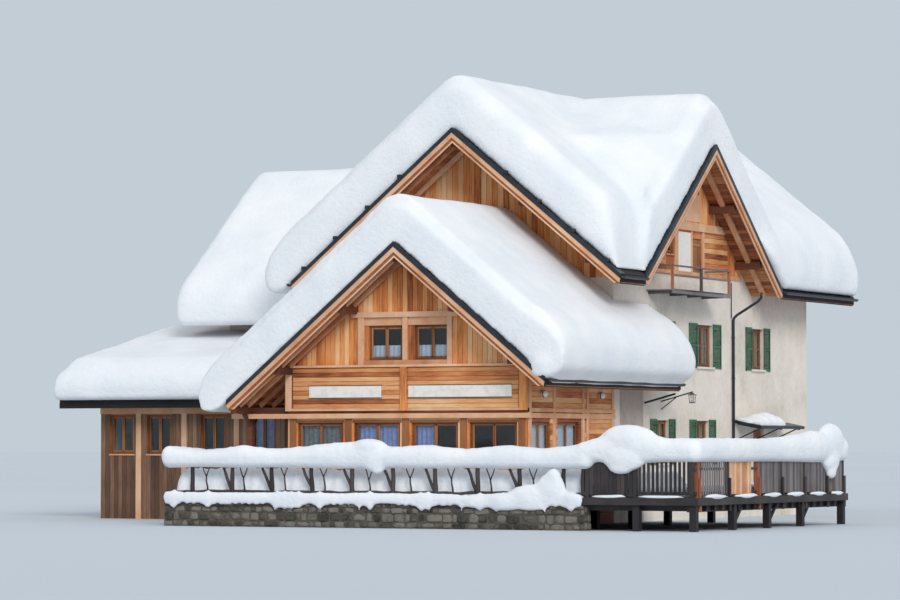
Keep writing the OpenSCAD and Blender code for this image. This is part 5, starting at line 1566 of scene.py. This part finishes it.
iron.bar(LANTERN + Vector((0, 0, 0.13)), LANTERN + Vector((0, 0, 0.2)), 0.015, 0.015, side=RIGHT)
opal = Stack()
blob(opal, LANTERN - Vector((0, 0, 0.05)), (0.05, 0.05, 0.08))
opal.piece("lantern_lamp", milky_glass, "lamp_glass", smooth=True)
RIM = 0.112
for y in (2.0, 6.1):
    angles = between(0.0, 2 * math.pi, 25)
    ring = [Vector((4.11, y + RIM * math.cos(a), 3.99 + RIM * math.sin(a))) for a in angles]
    for a, b in zip(ring[:-1], ring[1:]):
        iron.bar(a, b, 0.016, 0.03, side=RIGHT, tint=0.2)
    iron.box(4.0, 4.02, y - 0.06, y + 0.06, 3.93, 4.05, tint=0.2)

# %% Balcony frame
BALCONY_A, BALCONY_B, BALCONY_OUT = 9.7, 14.4, 0.95
BALCONY_TOP = 7.47
HANDRAIL = 8.22
thin = Stack()
end_posts = Stack()
edge = MAIN_RIGHT + BALCONY_OUT
thin.row(31, (MAIN_RIGHT + BALCONY_OUT / 2, 9.78, 7.44), (0, 0.1508, 0), (BALCONY_OUT, 0.14, 0.04),
    uneven=(0, 0.01, 0.1))
thin.box(edge - 0.05, edge, BALCONY_A, BALCONY_B, 7.32, BALCONY_TOP, tint=0.6)
for y in (9.9, 11.6, 13.0, 14.2):
    thin.bar((MAIN_RIGHT, y, 7.36), (edge - 0.05, y, 7.38), 0.1, 0.1, tint=0.3)
for z, thick in ((HANDRAIL, 0.1), (7.9, 0.03)):
    thin.bar((edge - 0.04, BALCONY_A, z), (edge - 0.04, BALCONY_B, z), thick, 0.05, tint=0.5)
for y in (BALCONY_A + 0.03, BALCONY_B - 0.03):
    thin.bar((MAIN_RIGHT, y, HANDRAIL), (edge, y, HANDRAIL), 0.05, 0.05, tint=0.5)
thin.box(edge - 0.08, edge, 12.0, 12.1, BALCONY_TOP, HANDRAIL - 0.02, tint=0.05)
for y in (BALCONY_A + 0.04, BALCONY_B - 0.05):
    end_posts.box(edge - 0.08, edge, y - 0.045, y + 0.045, BALCONY_TOP, HANDRAIL - 0.02, tint=0.6)
thin.piece("balcony_floor_and_rail", silver_boards, "weathered_timber", "balcony")
end_posts.piece("balcony_posts", rust_timber, "warm_timber")

# %% Doors of boards
DOORS = [(RIGHT, MAIN_RIGHT - STONE_REVEAL, 18.49, 19.47), (LEFT, FW_LEFT + TIMBER_REVEAL, 4.11, 5.09)]
ATTIC_DOOR = (RIGHT, MAIN_RIGHT - TIMBER_REVEAL)
DOOR_HEAD = 2.98
LEVER_Z, LEVER_T = 2.03, 0.018
door_boards = Stack()
for facing, at, a, b in DOORS:
    field(door_boards, facing, at, a, b, FLOOR + 0.02, DOOR_HEAD, board=0.14, thick=0.02)
field(door_boards, *ATTIC_DOOR, 13.31, 14.13, 8.17, 9.28, board=0.12, thick=0.02)
for z in (1.25, 2.6):
    for facing, at, a, b in DOORS:
        block(door_boards, facing, at, a + 0.03, b - 0.03, z, z + 0.12, 0.045)
for z in (8.3, 9.05):
    block(door_boards, *ATTIC_DOOR, 13.33, 14.11, z, z + 0.09, 0.04)
door_boards.piece("door_boards", honey_timber, "window_timber")
for (facing, at, _, _), a, b in zip(DOORS, (19.38, 4.2), (19.28, 4.3)):
    block(iron, facing, at, a - 0.02, a + 0.02, 1.92, 2.1, 0.03, tint=0.3)
    iron.bar(spot(facing, at, a, LEVER_Z, 0.02), spot(facing, at, a, LEVER_Z, 0.07), LEVER_T, LEVER_T)
    iron.bar(spot(facing, at, a, LEVER_Z, 0.065), spot(facing, at, b, LEVER_Z, 0.065), LEVER_T, LEVER_T)
CASE_A, CASE_B = 18.4, 19.56
door_case = Stack()
for a, b in ((CASE_A, 18.5), (19.46, CASE_B)):
    block(door_case, RIGHT, MAIN_RIGHT, a, b, FLOOR, 3.06, 0.03, sunk=0.1)
block(door_case, RIGHT, MAIN_RIGHT, CASE_A, CASE_B, DOOR_HEAD, 3.1, 0.035, sunk=0.1)
door_case.piece("side_door_case", lime_plaster, "plaster")

# %% Canopy, chimney head and steel parts
for y in (17.2, 18.85, 20.5):
    iron.bar((MAIN_RIGHT, y, 2.65), (MAIN_RIGHT + 0.85, y, 3.02), 0.04, 0.04, tint=0.4)
    iron.bar((MAIN_RIGHT, y, 3.17), (MAIN_RIGHT + 0.95, y, 2.99), 0.05, 0.05, tint=0.4)
iron.piece("gutter_clips_brackets_and_lantern", dark_sheet, "dark_metal")
CHIMNEY_X, CHIMNEY_Y = -2.6, 19.5
HEAD_OFF, HEAD_TOP, HEAD_T = 0.48, 14.07, 0.11
head = Stack()
for off in (-HEAD_OFF, HEAD_OFF):
    head.row(6, (CHIMNEY_X - 0.5, CHIMNEY_Y + off, HEAD_TOP), (0.2, 0, 0), (0.19, 0.2, HEAD_T),
        uneven=(0, 0.1, 0.1))
for off in (-HEAD_OFF, HEAD_OFF):
    head.row(4, (CHIMNEY_X + off, CHIMNEY_Y - 0.29, HEAD_TOP), (0, 0.195, 0), (0.2, 0.185, HEAD_T),
        uneven=(0.1, 0, 0.1))
head.piece("chimney_head_stones", rubble, "rubble_stone")
pad = Stack()
for y, wide, high in ((17.3, 0.4, 0.26), (17.8, 0.5, 0.38), (18.4, 0.55, 0.42), (18.95, 0.45, 0.34)):
    blob(pad, (MAIN_RIGHT + 0.5, y, 3.17), (0.5, wide, high), heap=True)
pad.bar((MAIN_RIGHT + 0.04, 18.1, 3.34), (MAIN_RIGHT + 0.97, 18.1, 3.18), 2.3, 0.16, tint=0.5)
soften("canopy_soft_snow", soft_mesh(pad), voxel=0.045, rounds=6, wander=0.04, size=0.5)
